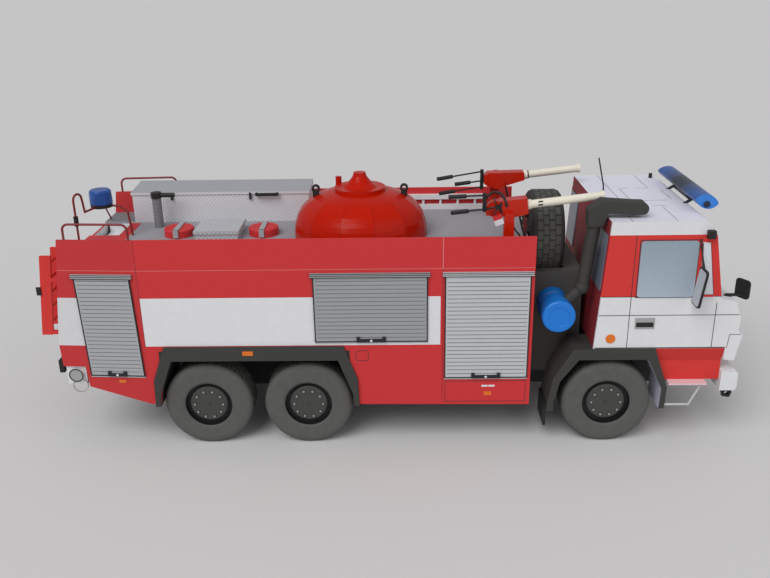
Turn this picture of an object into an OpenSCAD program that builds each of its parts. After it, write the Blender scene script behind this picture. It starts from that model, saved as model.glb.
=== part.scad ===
// Paper scale model of a six-wheel airport fire truck, in millimetres at the model's own size.
// +X is the front of the truck, +Y its left side, +Z up, and the wheels stand on Z = 0.

/* [Card] */
// thickness of the folded card walls
card_t = 1; // [0.8:0.1:1.4]
// thickness of the printed sheets glued on the walls
sheet_t = 0.5; // [0.3:0.1:0.8]
// thickness of the wire used for rails, stirrups and handles
wire_d = 1; // [0.7:0.1:1.4]
// gap left between a curved or sloping piece and its seat
glue_gap = 0.1; // [0.05:0.05:0.3]

/* [Wheels] */
// outer diameter of the tyres
wheel_d = 36; // [32:0.5:40]
// width of a tyre
tyre_w = 13.5; // [11:0.5:15.5]
// how far the wheels stand inside the body sides
wheel_inset = 1.3; // [0.8:0.1:3]
// front axle to middle axle
wheelbase = 121.9; // [110:0.5:140]
// middle axle to rear axle
bogie_gap = 41.3; // [41:0.1:50]
// diameter of the axle rods
axle_d = 3; // [2:0.1:4]
// play all round an axle rod in its bearing tube
axle_play = 0.05; // [0.02:0.01:0.1]
// play between a bearing tube and the wheel beside it
end_play = 0.4; // [0.3:0.1:0.8]
// diameter of the hub disc
hub_d = 15.4; // [12:0.2:16]
// width of the recess round the hub disc
hub_ring = 2; // [1.5:0.1:3]

/* [Chassis] */
// width of the backbone beam
beam_w = 14; // [11:0.5:17]
// height of the backbone beam
beam_h = 12; // [10:0.5:14]
// wall of the bearing tubes
tube_t = 2; // [1.5:0.1:2.5]
// free space above the front wheels
arch_gap = 2; // [1.6:0.1:3]
// depth of the front fenders above that space
fender_t = 4.5; // [3.5:0.1:5.5]

/* [Body] */
// width over the card sides of the body
body_w = 78; // [70:0.5:90]
// front axle to the front wall of the body
body_gap = 31.75; // [30:0.25:36]
// rear axle to the fold where the tail begins
fold_back = 22.8; // [22.5:0.1:28]
// length of the tail behind the fold
tail_l = 35.5; // [32:0.5:42]
// how far each tail side leans inwards at its end
tail_taper = 2; // [1:0.2:3]
// lower edge of the body sides
skirt_z = 18.4; // [16:0.2:21]
// top of the roof deck
deck_z = 80; // [74:0.5:90]
// height of the side walls above the deck
parapet_h = 9.8; // [8:0.2:12]
// free space above the wheels of the bogie
bogie_room = 3.1; // [2.4:0.1:4]
// width of the trim round the wheel arch
arch_trim = 6; // [4.5:0.1:7]
// height of one slat of a roller shutter
slat_h = 1.7; // [1.4:0.1:2.4]
// depth of the printed groove between two slats
slat_groove = 0.15; // [0.1:0.05:0.2]

/* [Cab] */
// how far the cab sides stand inside the body sides
cab_inset = 1; // [0.5:0.1:2]
// how far the cab roof rises above the body walls
cab_rise = 5; // [3:0.2:8]
// front axle to the foremost point of the nose
nose_x = 49.7; // [47:0.5:54]
// front axle to the foot of the rear wall of the cab
cab_back = 7.1; // [6:0.2:8.5]
// how far the rear wall of the cab leans forwards
back_lean = 3.5; // [2:0.2:5]
// height of the doors below their windows
sill_h = 20.9; // [18:0.2:23]
// height of the skirt under the cab floor
apron_h = 14.9; // [13:0.2:16]

/* [Roof equipment] */
// diameter of the tank dome
dome_d = 56; // [48:0.5:60]
// height of the tank dome below its rim
dome_h = 19.5; // [16:0.5:23]
// front wall of the body to the middle of the dome
dome_back = 68.5; // [64:0.5:72]
// width of the locker
locker_w = 17; // [14:0.5:20]
// height of the locker with its lid
locker_h = 15; // [12:0.5:18]
// diameter of the round hatches
hatch_d = 12.6; // [10:0.2:14]
// side of the square hatch
square_hatch = 19; // [16:0.5:21]
// distance of each monitor from the body wall beside it
monitor_inset = 14.3; // [12:0.1:17]
// diameter of a monitor barrel
barrel_d = 3.2; // [2.4:0.1:4]
// reach of a monitor barrel in front of its post
barrel_reach = 37; // [30:0.5:44]
// how far the monitor barrels are raised
barrel_rise = 6.5; // [0:0.5:15]

/* [Tail] */
// width of the rear ladder
ladder_w = 12.4; // [10:0.2:15]
// height of the roof rails above the walls
rail_h = 6.2; // [5:0.2:9]
// diameter of the beacon
beacon_d = 9.4; // [7.6:0.2:11]
// height of the beacon
beacon_h = 5.8; // [4.6:0.2:7]
// length of the opening at the rear end of the deck
well_l = 13; // [10:0.5:14]

/* [Hidden] */
$fn = 48;
half_w = body_w / 2;
half_cab = half_w - cab_inset;
wheel_r = wheel_d / 2;
mid_x = -wheelbase;
rear_x = mid_x - bogie_gap;
bogie_x = (mid_x + rear_x) / 2;
beam_z = wheel_r - beam_h / 2;
beam_top = wheel_r + beam_h / 2;
tyre_in = half_w - wheel_inset - tyre_w;
recess_d = hub_d + 2 * hub_ring;
recess_h = 3;
front_wall_x = -body_gap;
fold_x = rear_x - fold_back;
tail_x = fold_x - tail_l;
wall_top = deck_z + parapet_h;
inner_w = half_w - card_t;
cab_z = wheel_d + arch_gap + fender_t;
cab_top = wall_top + cab_rise;
apron_z = cab_z - apron_h;
apron_x = nose_x - 4.7;
bumper_l = 6.8;
bumper_front = apron_x + bumper_l;
ladder_out = 8.4;
kerb_w = 6.6;
kerb_t = 0.7;
kerb_turn = 30;
kerb_x = nose_x + 1;
front_most = kerb_x + kerb_w / 2 * sin(kerb_turn) + kerb_t * cos(kerb_turn);
rear_most = tail_x - ladder_out;
front_axle_x = -(front_most + rear_most) / 2;

// half width of the body at a given place, which shrinks along the tail
function wall_y(x) = half_w - tail_taper * max(0, fold_x - x) / tail_l;
function unit(v) = v / norm(v);
function left_of(v) = [-v[1], v[0]];
function reversed(pts) = [for (k = [len(pts) - 1:-1:0]) pts[k]];
function corner(a, b, c, t) =
    let (n1 = left_of(unit(b - a)), n2 = left_of(unit(c - b)))
    b + t * (n1 + n2) / (1 + n1 * n2);
// the same closed outline moved inwards by t, for points given anticlockwise
function inset(pts, t) =
    let (n = len(pts))
    [for (i = [0:n - 1]) corner(pts[(i + n - 1) % n], pts[i], pts[(i + 1) % n], t)];
// the strip of a folded sheet between two corners of its outline
function strip(outer, inner, i, j) =
    concat([for (k = [i:j]) outer[k % len(outer)]], [for (k = [j:-1:i]) inner[k % len(inner)]]);
// quarter circle and a rectangle with rounded corners
function arc(cx, cy, r, a) = [for (k = [0:4]) [cx + r * cos(a + k * 22.5), cy + r * sin(a + k * 22.5)]];
function round_box(x0, y0, x1, y1, r) = concat(arc(x1 - r, y1 - r, r, 0), arc(x0 + r, y1 - r, r, 90),
    arc(x0 + r, y0 + r, r, 180), arc(x1 - r, y0 + r, r, 270));

// places a piece that is measured from the front axle
module at_axle() {
    translate([front_axle_x, 0, 0]) children();
}

// extrudes a side-view outline (x, z) across the truck from y0 to y1
module across(y0, y1) {
    translate([0, y1, 0]) rotate([90, 0, 0]) linear_extrude(y1 - y0) children();
}

// extrudes a front-view outline (y, z) along the truck from x0 to x1
module along(x0, x1) {
    translate([x0, 0, 0]) rotate([90, 0, 90]) linear_extrude(x1 - x0) children();
}

module both_sides() {
    children();
    mirror([0, 1, 0]) children();
}

module box(a, b) {
    translate(a) cube(b - a);
}

// straight round rod from a to b
module rod(a, b, d) {
    v = b - a;
    translate(a)
        rotate([0, acos(v[2] / norm(v)), atan2(v[1], v[0])])
            cylinder(h = norm(v), d = d, $fn = 24);
}

// wire bent at each point between its ends
module wire(pts, d) {
    for (i = [0:len(pts) - 2])
        rod(pts[i], pts[i + 1], d);
    for (i = [1:1:len(pts) - 2])
        translate(pts[i]) sphere(d = d * 1.12, $fn = 24);
}

// quarter bend of wire that turns from +x to +z about its middle
module bend(r, d) {
    rotate([90, 0, 0]) rotate_extrude(angle = 90, $fn = 96) translate([r, 0]) circle(d = d, $fn = 24);
}

// turned piece with its axis along y, from a profile of [radius, y]
module turned(pts) {
    rotate([-90, 0, 0]) rotate_extrude($fn = 96) polygon(pts);
}

// Chassis and wheels

module chassis() {
    color([0.2, 0.2, 0.2]) at_axle() difference() {
        union() {
            box([tail_x + 14, -beam_w / 2, beam_z], [apron_x - card_t, beam_w / 2, beam_top]);
            for (x = [0, mid_x, rear_x])
                translate([x, end_play - tyre_in, wheel_r]) rotate([-90, 0, 0])
                    cylinder(h = 2 * (tyre_in - end_play), d = axle_d + 2 * (axle_play + tube_t));
        }
        for (x = [0, mid_x, rear_x])
            translate([x, -half_w, wheel_r]) rotate([-90, 0, 0])
                cylinder(h = body_w, d = axle_d + 2 * axle_play);
    }
}

// boxes on the beam that carry the cab, the arch lining and the tail floor
module bearers() {
    color([0.17, 0.17, 0.17]) at_axle() {
        box([-3, -beam_w / 2 - 5, beam_top], [apron_x - 8, beam_w / 2 + 5, cab_z]);
        box([bogie_x - 12, -beam_w / 2 - 3, beam_top], [bogie_x + 12, beam_w / 2 + 3, arch_z]);
        box([tail_x + 15, -beam_w / 2 - 3, beam_top], [tail_x + 29, beam_w / 2 + 3, tail_floor]);
    }
}

module axle(x) {
    color([0.6, 0.6, 0.62]) at_axle()
        translate([x, -tyre_in, wheel_r]) rotate([-90, 0, 0]) cylinder(h = 2 * tyre_in, d = axle_d);
}

module front_axle() {
    axle(0);
}

module middle_axle() {
    axle(mid_x);
}

module rear_axle() {
    axle(rear_x);
}

// tyre drum, inner face at y = 0, with a recess for the hub disc in its outer face
module tyre() {
    turned([[0, 0], [wheel_r - 2.6, 0], [wheel_r - 1.3, 0.25], [wheel_r - 0.4, 0.9], [wheel_r, 1.9],
        [wheel_r, tyre_w - 1.9], [wheel_r - 0.4, tyre_w - 0.9], [wheel_r - 1.3, tyre_w - 0.25],
        [wheel_r - 2.6, tyre_w], [recess_d / 2 + 0.8, tyre_w - 0.1], [recess_d / 2, tyre_w - 0.5],
        [recess_d / 2, tyre_w - recess_h], [0, tyre_w - recess_h]]);
}

module left_tyre(x) {
    color([0.33, 0.33, 0.32]) at_axle() translate([x, tyre_in, wheel_r]) tyre();
}

module right_tyre(x) {
    color([0.33, 0.33, 0.32]) at_axle() mirror([0, 1, 0]) translate([x, tyre_in, wheel_r]) tyre();
}

module tyre_front_right() {
    right_tyre(0);
}

module tyre_front_left() {
    left_tyre(0);
}

module tyre_middle_right() {
    right_tyre(mid_x);
}

module tyre_middle_left() {
    left_tyre(mid_x);
}

module tyre_rear_right() {
    right_tyre(rear_x);
}

module tyre_rear_left() {
    left_tyre(rear_x);
}

// hub disc with its ring of nuts and the axle's end, foot at y = 0
disc_t = 1.8;
module hub() {
    turned([[0, 0], [hub_d / 2, 0], [hub_d / 2, disc_t - 0.4], [hub_d / 2 - 0.5, disc_t], [0, disc_t]]);
    for (i = [0:9])
        rotate([0, i * 36, 0]) translate([hub_d / 2 - 1.8, disc_t - 0.2, 0]) rotate([-90, 0, 0])
            cylinder(h = 0.7, d = 0.9, $fn = 6);
    translate([0, disc_t - 0.2, 0]) rotate([-90, 0, 0]) cylinder(h = 0.6, d = 1, $fn = 16);
}

module hubs(x) {
    color([0.27, 0.27, 0.27]) at_axle() both_sides()
        translate([x, tyre_in + tyre_w - recess_h, wheel_r]) hub();
}

module front_hubs() {
    hubs(0);
}

module middle_hubs() {
    hubs(mid_x);
}

module rear_hubs() {
    hubs(rear_x);
}

// Cab: a folded shell of sheets between two sides

sill_z = cab_z + sill_h;
// side view of the cab, from the foot of the rear wall round the nose to the roof
cab_line = [
    [-cab_back, cab_z], [apron_x, cab_z], [nose_x - 0.5, cab_z + 7.6], [nose_x, cab_z + 12.3],
    [nose_x - 2.5, sill_z - 1.3], [nose_x - 8.6, sill_z], [nose_x - 13.2, cab_top - 6],
    [nose_x - 14.4, cab_top - 2.2], [nose_x - 17.5, cab_top], [back_lean - cab_back, cab_top]
];
cab_inner = inset(cab_line, card_t);
screen_foot = cab_line[5];
screen_head = cab_line[6];
screen_dir = unit(screen_head - screen_foot);
screen_l = norm(screen_head - screen_foot);
back_foot = cab_line[0];
back_head = cab_line[9];
back_dir = unit(back_head - back_foot);
back_l = norm(back_head - back_foot);

// sheet lying on a sloping line of the side view, between two distances along it
module slope_sheet(start, dir, out, s0, s1) {
    polygon([start + dir * s0, start + dir * s1, start + dir * s1 + out * sheet_t,
        start + dir * s0 + out * sheet_t]);
}

module cab_side() {
    across(half_cab - card_t, half_cab) polygon(cab_line);
}

module cab_side_right() {
    color([0.78, 0.22, 0.2]) at_axle() mirror([0, 1, 0]) cab_side();
}

module cab_side_left() {
    color([0.78, 0.22, 0.2]) at_axle() cab_side();
}

module cab_sheet(i, j) {
    across(card_t - half_cab, half_cab - card_t) polygon(strip(cab_line, cab_inner, i, j));
}

module cab_front() {
    color([0.78, 0.22, 0.2]) at_axle() cab_sheet(1, 6);
}

module cab_roof() {
    color([0.8, 0.8, 0.84]) at_axle() cab_sheet(6, 9);
}

module cab_rear() {
    color([0.6, 0.15, 0.15]) at_axle() cab_sheet(9, 10);
}

module cab_floor() {
    color([0.7, 0.2, 0.2]) at_axle() cab_sheet(0, 1);
}

// printed windows: door and quarter windows, two screen panes and two rear panes
module cab_windows() {
    color([0.6, 0.68, 0.74]) at_axle() both_sides() {
        across(half_cab, half_cab + sheet_t) {
            polygon(round_box(8, sill_z + 1.2, 29.8, cab_top - 7.4, 1.3));
            polygon([[31, cab_top - 8], [nose_x - 15.5, cab_top - 8.3], [nose_x - 11.8, sill_z + 0.5],
                [32.6, sill_z + 0.5]]);
        }
        across(1, half_cab - 4)
            slope_sheet(screen_foot, screen_dir, -left_of(screen_dir), 1.5, screen_l - 1);
        across(half_cab - 17.5, half_cab - 2.5)
            slope_sheet(back_foot, back_dir, left_of(back_dir), sill_h + 3, back_l - 6);
    }
}

// chamfered fender over a front wheel, outer and inner line from the rear foot to the front foot
fender_front = wheel_r + 5.2;
fender_back = wheel_r + 6.4;
fender_out = [[-fender_back, wheel_r - 3], [-fender_back, wheel_r], [2.1 - fender_back, wheel_r + 12],
    [9.4 - fender_back, cab_z], [fender_front - 5.8, cab_z], [fender_front + 0.4, wheel_r + 7.6],
    [fender_front, wheel_r - 2]];
fender_in = [[2.7 - fender_back, wheel_r - 3], [2.7 - fender_back, wheel_r + 1],
    [4.9 - fender_back, wheel_r + 10.5], [11.9 - fender_back, cab_z - fender_t],
    [fender_front - 8.2, cab_z - fender_t], [fender_front - 1.9, wheel_r + 7.2],
    [fender_front - 2.2, wheel_r - 2]];
fender_w = half_cab + card_t;

module front_fenders() {
    color([0.24, 0.24, 0.22]) at_axle() both_sides()
        across(tyre_in - 1, fender_w) polygon(concat(fender_out, reversed(fender_in)));
}

module mud_flaps() {
    color([0.1, 0.1, 0.1]) at_axle() both_sides()
        box([-fender_back - card_t, tyre_in, wheel_r - 10], [-fender_back, half_cab, wheel_r]);
}

// skirt under the cab floor: folded sides and a front apron of one sheet
apron_fold = cab_z - 6.5;
apron_in = 2.4;
module cab_apron() {
    color([0.78, 0.22, 0.2]) at_axle() {
        both_sides() intersection() {
            along(0, apron_x)
                polygon([[half_cab, cab_z], [half_cab - apron_in, apron_fold],
                    [half_cab - apron_in, apron_z], [half_cab - apron_in - card_t, apron_z],
                    [half_cab - apron_in - card_t, apron_fold], [half_cab - card_t, cab_z]]);
            across(0, half_w)
                polygon([[fender_front - 5.5, cab_z], [fender_front + 0.7, wheel_r + 7.6],
                    [apron_x, wheel_r + 7.6], [apron_x, cab_z]]);
        }
        along(apron_x - card_t, apron_x)
            polygon([[half_cab - card_t, cab_z], [half_cab - apron_in - card_t, apron_fold],
                [half_cab - apron_in - card_t, apron_z], [apron_in + card_t - half_cab, apron_z],
                [apron_in + card_t - half_cab, apron_fold], [card_t - half_cab, cab_z]]);
    }
}

bumper_z = apron_z - 4;
module bumper() {
    color([0.88, 0.88, 0.9]) at_axle() across(-half_cab, half_cab)
        polygon([[apron_x, bumper_z], [bumper_front - 0.6, bumper_z], [bumper_front, bumper_z + 1.4],
            [bumper_front, bumper_z + 7.6], [bumper_front - 0.8, bumper_z + 8.4],
            [apron_x, bumper_z + 8.4]]);
}

// box with two round lamps at each corner of the nose
lamp_foot = [apron_x + 4.2, cab_z - 5.4];
lamp_head = [apron_x + 6.2, cab_z + 5.6];
lamp_lean = atan((lamp_head[0] - lamp_foot[0]) / (lamp_head[1] - lamp_foot[1]));
lamp_w = 13;
module lamp_boxes() {
    color([0.9, 0.9, 0.92]) at_axle() both_sides() {
        across(half_cab - lamp_w, half_cab)
            polygon([[apron_x, cab_z - 5.1], lamp_foot, lamp_head, cab_line[2], [apron_x, cab_z]]);
        for (i = [0, 1])
            translate([(lamp_foot[0] + lamp_head[0]) / 2, half_cab - lamp_w * (0.27 + 0.46 * i),
                (lamp_foot[1] + lamp_head[1]) / 2])
                rotate([0, 90 + lamp_lean, 0]) translate([0, 0, -1]) cylinder(h = 1.6, d = 5);
    }
}

// step plate under each side of the apron, with a wire stirrup that ends at the fender
step_t = 0.7;
module steps() {
    color([0.75, 0.72, 0.72]) at_axle() both_sides() {
        box([fender_front + 0.8, half_cab - 9, apron_z - step_t],
            [fender_front + 16, half_cab + 1.6, apron_z]);
        wire([[fender_front + 13.5, half_cab, apron_z - step_t],
            [fender_front + 13.5, half_cab, apron_z - 2.6], [fender_front + 10, half_cab, wheel_r - 0.6],
            [fender_front + glue_gap, half_cab, wheel_r - 0.6]], wire_d);
    }
}

// light bar of a lens-shaped section, tilted with the roof, with slanted ends:
// two blue pods beside a dark middle, on a low foot over the windscreen
bar_x = nose_x - 14.4;
bar_z = cab_top + 4.4;
bar_half = 27;
bar_mid = 7;
bar_h = 5.2;
bar_w = 9;
bar_tilt = 8;
bar_r = (bar_w * bar_w + bar_h * bar_h) / (4 * bar_h);
bar_rise = bar_r - bar_h / 2;
bar_under = bar_z + bar_rise * cos(bar_tilt) - bar_r - glue_gap;
module bar_part(y0, y1) {
    translate([bar_x, y0, bar_z]) rotate([0, bar_tilt, 0]) intersection_for (s = [-1, 1])
        translate([0, 0, s * bar_rise]) rotate([-90, 0, 0]) cylinder(h = y1 - y0, r = bar_r);
}

module light_bar() {
    color([0.1, 0.3, 0.6]) at_axle() both_sides() intersection() {
        bar_part(bar_mid, bar_half + 5);
        along(bar_x - 9, bar_x + 9)
            polygon([[0, bar_z - bar_h], [bar_half + 1.2, bar_z - bar_h], [bar_half - 3.6, bar_z + bar_h],
                [0, bar_z + bar_h]]);
    }
}

module light_bar_base() {
    foot_y = 12;
    color([0.1, 0.1, 0.1]) at_axle() {
        bar_part(-bar_mid, bar_mid);
        box([bar_x - 2, -bar_mid, bar_under - 0.6], [bar_x + 1, bar_mid, bar_z]);
        box([bar_x - 2, -foot_y, bar_under - 0.6], [bar_x + 1, foot_y, bar_under]);
        both_sides() across(foot_y - 1, foot_y)
            polygon([[bar_x - 4.4, cab_top], [bar_x - 2.6, cab_top], [bar_x - 0.4, bar_under - 0.2],
                [bar_x - 2, bar_under - 0.2]]);
    }
}

// aerial, corner lamps and the tow hooks under the bumper
module cab_fittings() {
    color([0.15, 0.15, 0.15]) at_axle() {
        wire([[3.6, 10, cab_top], [3.6, 10, cab_top + 2], [1, 11, cab_top + 14]], wire_d * 0.6);
        translate([nose_x - 20, 32, cab_top]) cylinder(h = 2, d = 1.6);
        both_sides() {
            box([nose_x - 17.5, half_cab, cab_top - 6.2], [nose_x - 14.7, half_cab + 2.4, cab_top - 3.2]);
            across(half_cab - 4, half_cab - 2.4) difference() {
                polygon([[apron_x + 1.6, bumper_z], [apron_x + 2.6, bumper_z - 4],
                    [apron_x + 5.4, bumper_z - 4.4], [apron_x + 6.2, bumper_z - 2.4],
                    [apron_x + 5.4, bumper_z]]);
                translate([apron_x + 4.1, bumper_z - 2.5]) circle(d = 1.8);
            }
        }
    }
}

// outside mirrors: a large plate under two wire arms on each side, and a kerb mirror on the nose
mirror_x = nose_x - 19.9;
mirror_w = 8;
mirror_h = 14.6;
mirror_y = half_cab + 2.4;
module mirror_plate() {
    intersection() {
        across(mirror_y, mirror_y + mirror_w)
            polygon([[mirror_x - 1.4, sill_z], [mirror_x - 0.6, sill_z],
                [mirror_x + 1.4, sill_z + mirror_h], [mirror_x + 0.6, sill_z + mirror_h]]);
        along(mirror_x - 3, mirror_x + 3)
            polygon(round_box(mirror_y, sill_z, mirror_y + mirror_w, sill_z + mirror_h, 1.3));
    }
}

module mirrors() {
    color([0.2, 0.2, 0.2]) at_axle() {
        both_sides() {
            mirror_plate();
            for (i = [0, 1])
                rod([mirror_x + 0.6, half_cab + 0.3, cab_top - 6.6 - 2.6 * i],
                    [mirror_x + 0.85, mirror_y + 2.6 + 2.6 * i, sill_z + mirror_h - 1], wire_d * 0.5);
        }
        mirror([0, 1, 0]) {
            across(half_cab - 5.9, half_cab - 5.1)
                polygon([[nose_x - 6, sill_z - 0.55], [nose_x - 4, sill_z - 0.98],
                    [kerb_x + 0.4, sill_z - 0.7], [kerb_x + 0.4, sill_z + 0.1],
                    [nose_x - 5, sill_z + 0.2]]);
            translate([kerb_x, half_cab - 5.5, 0]) rotate([0, 0, -kerb_turn]) along(0, kerb_t)
                polygon(round_box(-kerb_w / 2, sill_z - 1.8, kerb_w / 2, sill_z + 6, 1.4));
        }
    }
}

// Between cab and body

gap_x = (front_wall_x + (back_lean - 2 * cab_back) / 2) / 2;
carrier_h = 44.6;
cradle = 6.6;
carrier_top = beam_top + carrier_h;
carrier_half = tyre_in - 5;
spare_x = gap_x - 4.6;
spare_flat = 0.4;
spare_z = carrier_top - cradle + wheel_r - spare_flat;
// half the length of the tyre's chord at the carrier's top, and a little room
cradle_half = sqrt((cradle + spare_flat) * (2 * wheel_r - cradle - spare_flat)) + 0.3;
// box on the beam, hollowed at the top where the spare wheel sinks in
module spare_carrier() {
    color([0.12, 0.12, 0.12]) at_axle() difference() {
        box([front_wall_x + 2, -carrier_half, beam_top], [-cab_back - 1.9, carrier_half, carrier_top]);
        box([spare_x - tyre_w / 2 - 0.3, -cradle_half, carrier_top - cradle],
            [spare_x + tyre_w / 2 + 0.3, cradle_half, carrier_top + 1]);
    }
}

// the spare wheel stands across the truck, a little flattened where it rests, hub towards the tail
module spare_tyre() {
    color([0.2, 0.2, 0.2]) at_axle() translate([spare_x + tyre_w / 2, 0, spare_z])
        rotate([0, 0, 90]) difference() {
            tyre();
            box([-wheel_r, -1, -wheel_r - 1], [wheel_r, tyre_w + 1, spare_flat - wheel_r]);
        }
}

module spare_hub() {
    color([0.1, 0.1, 0.1]) at_axle() translate([spare_x - tyre_w / 2 + recess_h, 0, spare_z])
        rotate([0, 0, 90]) {
            hub();
            turned([[0, disc_t - 0.2], [3, disc_t - 0.2], [3, disc_t + 2], [2.4, disc_t + 2.6],
                [0, disc_t + 2.6]]);
        }
}

// air-filter drum with its raised hoops, lying across the truck against the carrier
drum_r = 6.6;
drum_x = gap_x - 2.6;
drum_z = carrier_top - 12.8;
drum_l = half_w - 2 - carrier_half;
module air_filter() {
    color([0.08, 0.45, 0.8]) at_axle() mirror([0, 1, 0]) translate([drum_x, carrier_half, drum_z])
        turned([[0, 0], [drum_r - 0.4, 0], [drum_r - 0.4, drum_l - 13], [drum_r, drum_l - 12.6],
            [drum_r, drum_l - 11.6], [drum_r - 0.4, drum_l - 11.2], [drum_r - 0.4, drum_l - 6.6],
            [drum_r, drum_l - 6.2], [drum_r, drum_l - 0.5], [drum_r - 0.5, drum_l], [4.2, drum_l],
            [4, drum_l - 0.25], [0, drum_l - 0.25]]);
}

// intake: elbow on the drum, leaning pipe with two flanges, box duct over the cab roof
duct_y = half_cab - 8;
duct_w = 6.4;
pipe_d = 5.2;
pipe_foot = [drum_x + 9.6, duct_y, carrier_top - 2.6];
pipe_head = [-8.5, duct_y, cab_top - 3];
duct_z = cab_top + 1.4;
duct_line = concat([[pipe_head[0] - 3, pipe_head[2]], [pipe_head[0] + 2.6, pipe_head[2]],
    [-4, duct_z + 0.6], [6.4, duct_z]],
    [for (a = [-75:15:75]) [8.8 + 2.3 * cos(a), duct_z + 2.3 + 2.3 * sin(a)]],
    [[6.4, duct_z + 4.6], [-6.4, duct_z + 5.6], [pipe_head[0] - 3, duct_z + 1.6]]);
module snorkel() {
    color([0.22, 0.22, 0.24]) at_axle() mirror([0, 1, 0]) {
        difference() {
            rod([drum_x, duct_y, drum_z], pipe_foot, pipe_d - 0.5);
            translate([drum_x, 0, drum_z]) rotate([-90, 0, 0]) cylinder(h = half_w, r = drum_r + glue_gap);
        }
        rod(pipe_foot, pipe_head, pipe_d);
        translate(pipe_foot) sphere(d = pipe_d + 0.9);
        translate(pipe_head - [0, 0, 0.6]) cylinder(h = 0.9, d = pipe_d + 0.9);
        across(duct_y - duct_w / 2, duct_y + duct_w / 2) polygon(duct_line);
    }
}

// Body: two sides with a folded tail, and the sheets between them

tail_floor = skirt_z + 17.6;
knee_z = tail_floor + 10.3;
bend_z = deck_z - 13.3;
// side view of the body, whose rear edge leans in two folds
side_line = [[front_wall_x, skirt_z], [front_wall_x, wall_top], [tail_x + 5.6, wall_top],
    [tail_x + 2.6, bend_z], [tail_x, knee_z], [tail_x + 0.4, tail_floor], [tail_x + 9.6, tail_floor],
    [tail_x + 10.3, tail_floor - 9], [fold_x, skirt_z + 1]];
arch_z = wheel_d + bogie_room;
arch_half = bogie_gap / 2 + wheel_r - 5;

// side view of the double wheel arch, widened by e
function arch_line(e) = [
    [bogie_x - arch_half - 6.2 - e * 0.7, skirt_z - 1],
    [bogie_x - arch_half - 5.6 - e * 0.7, wheel_r + 6.2],
    [bogie_x - arch_half - e * 0.45, arch_z + e],
    [bogie_x + arch_half + e * 0.45, arch_z + e],
    [bogie_x + arch_half + 5.6 + e * 0.7, wheel_r + 6.2],
    [bogie_x + arch_half + 6.2 + e * 0.7, skirt_z - 1]
];

// outer line of the trim round that arch, which narrows towards its feet
trim_line = [
    [bogie_x - arch_half - 6.2 - arch_trim * 0.33, skirt_z - 1],
    [bogie_x - arch_half - 5.6 - arch_trim * 0.36, wheel_r + 12.4],
    [bogie_x - arch_half - arch_trim * 0.4, arch_z + arch_trim],
    [bogie_x + arch_half + arch_trim * 0.4, arch_z + arch_trim],
    [bogie_x + arch_half + 5.6 + arch_trim * 0.36, wheel_r + 12.4],
    [bogie_x + arch_half + 6.2 + arch_trim * 0.33, skirt_z - 1]
];

// plan of the body inside its walls
module inner_plan() {
    polygon([[front_wall_x, -inner_w], [front_wall_x, inner_w], [fold_x, inner_w],
        [tail_x, inner_w - tail_taper], [tail_x, tail_taper - inner_w], [fold_x, -inner_w]]);
}

// plan of one wall, folded where the tail begins
module wall_plan() {
    polygon([[front_wall_x, inner_w], [front_wall_x, half_w], [fold_x, half_w],
        [tail_x, half_w - tail_taper], [tail_x, inner_w - tail_taper], [fold_x, inner_w]]);
}

module body_side() {
    intersection() {
        linear_extrude(wall_top) wall_plan();
        across(0, half_w) difference() {
            polygon(side_line);
            polygon(arch_line(0));
        }
    }
}

module body_side_right() {
    color([0.75, 0.22, 0.24]) at_axle() mirror([0, 1, 0]) body_side();
}

module body_side_left() {
    color([0.75, 0.22, 0.24]) at_axle() body_side();
}

// cuts a side-view outline to the plan between the walls
module inside() {
    intersection() {
        linear_extrude(wall_top) inner_plan();
        across(-half_w, half_w) children();
    }
}

module body_front() {
    color([0.7, 0.2, 0.22]) at_axle() inside()
        translate([front_wall_x - card_t, beam_top]) square([card_t, deck_z - card_t - beam_top]);
}

// rear wall under the deck, folded like the rear edge of the sides
function tail_edge(z) = tail_x + 2.6 + (z - bend_z) * 3 / (wall_top - bend_z);
rear_line = [[tail_x + 0.4, tail_floor], [tail_x, knee_z], [tail_x + 2.6, bend_z],
    [tail_edge(deck_z - card_t), deck_z - card_t]];
module body_rear() {
    color([0.7, 0.2, 0.22]) at_axle() inside()
        polygon(concat(rear_line, reversed([for (p = rear_line) p + [card_t, 0]])));
}

arch_front = bogie_x + arch_half + 6.2 + card_t * 0.7;
arch_back = bogie_x - arch_half - 6.2 - card_t * 0.7;
module body_floor() {
    color([0.3, 0.3, 0.3]) at_axle() inside() {
        translate([arch_front, beam_top]) square([front_wall_x - card_t - arch_front, card_t]);
        polygon([[arch_back, tail_floor], [tail_x + card_t + 0.4, tail_floor],
            [tail_x + card_t + 0.4, tail_floor + card_t], [arch_back, tail_floor + card_t]]);
    }
}

// lining of the double wheel arch, open where the beam passes
module arch_liner() {
    color([0.12, 0.12, 0.12]) at_axle() difference() {
        inside() difference() {
            polygon(arch_line(card_t));
            polygon(arch_line(0));
        }
        box([tail_x, -beam_w / 2 - 2, 0], [0, beam_w / 2 + 2, beam_top + 2]);
        box([tail_x, -half_w, 0], [0, half_w, skirt_z]);
    }
}

// roof deck with the opening at its rear end
deck_end = tail_edge(deck_z);
well_y = half_w - 18;
module deck() {
    color([0.65, 0.65, 0.68]) at_axle() difference() {
        inside() translate([deck_end, deck_z - card_t]) square([front_wall_x - deck_end, card_t]);
        box([tail_x, 0, deck_z - 5], [deck_end + well_l, well_y, deck_z + 5]);
    }
}

well_d = 6;
module rear_well() {
    color([0.85, 0.85, 0.86]) at_axle() difference() {
        box([deck_end + 1.8, -card_t, deck_z - well_d],
            [deck_end + well_l + card_t, well_y + card_t, deck_z - card_t]);
        box([deck_end, 0, deck_z - well_d + card_t], [deck_end + well_l, well_y, deck_z]);
    }
}

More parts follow.
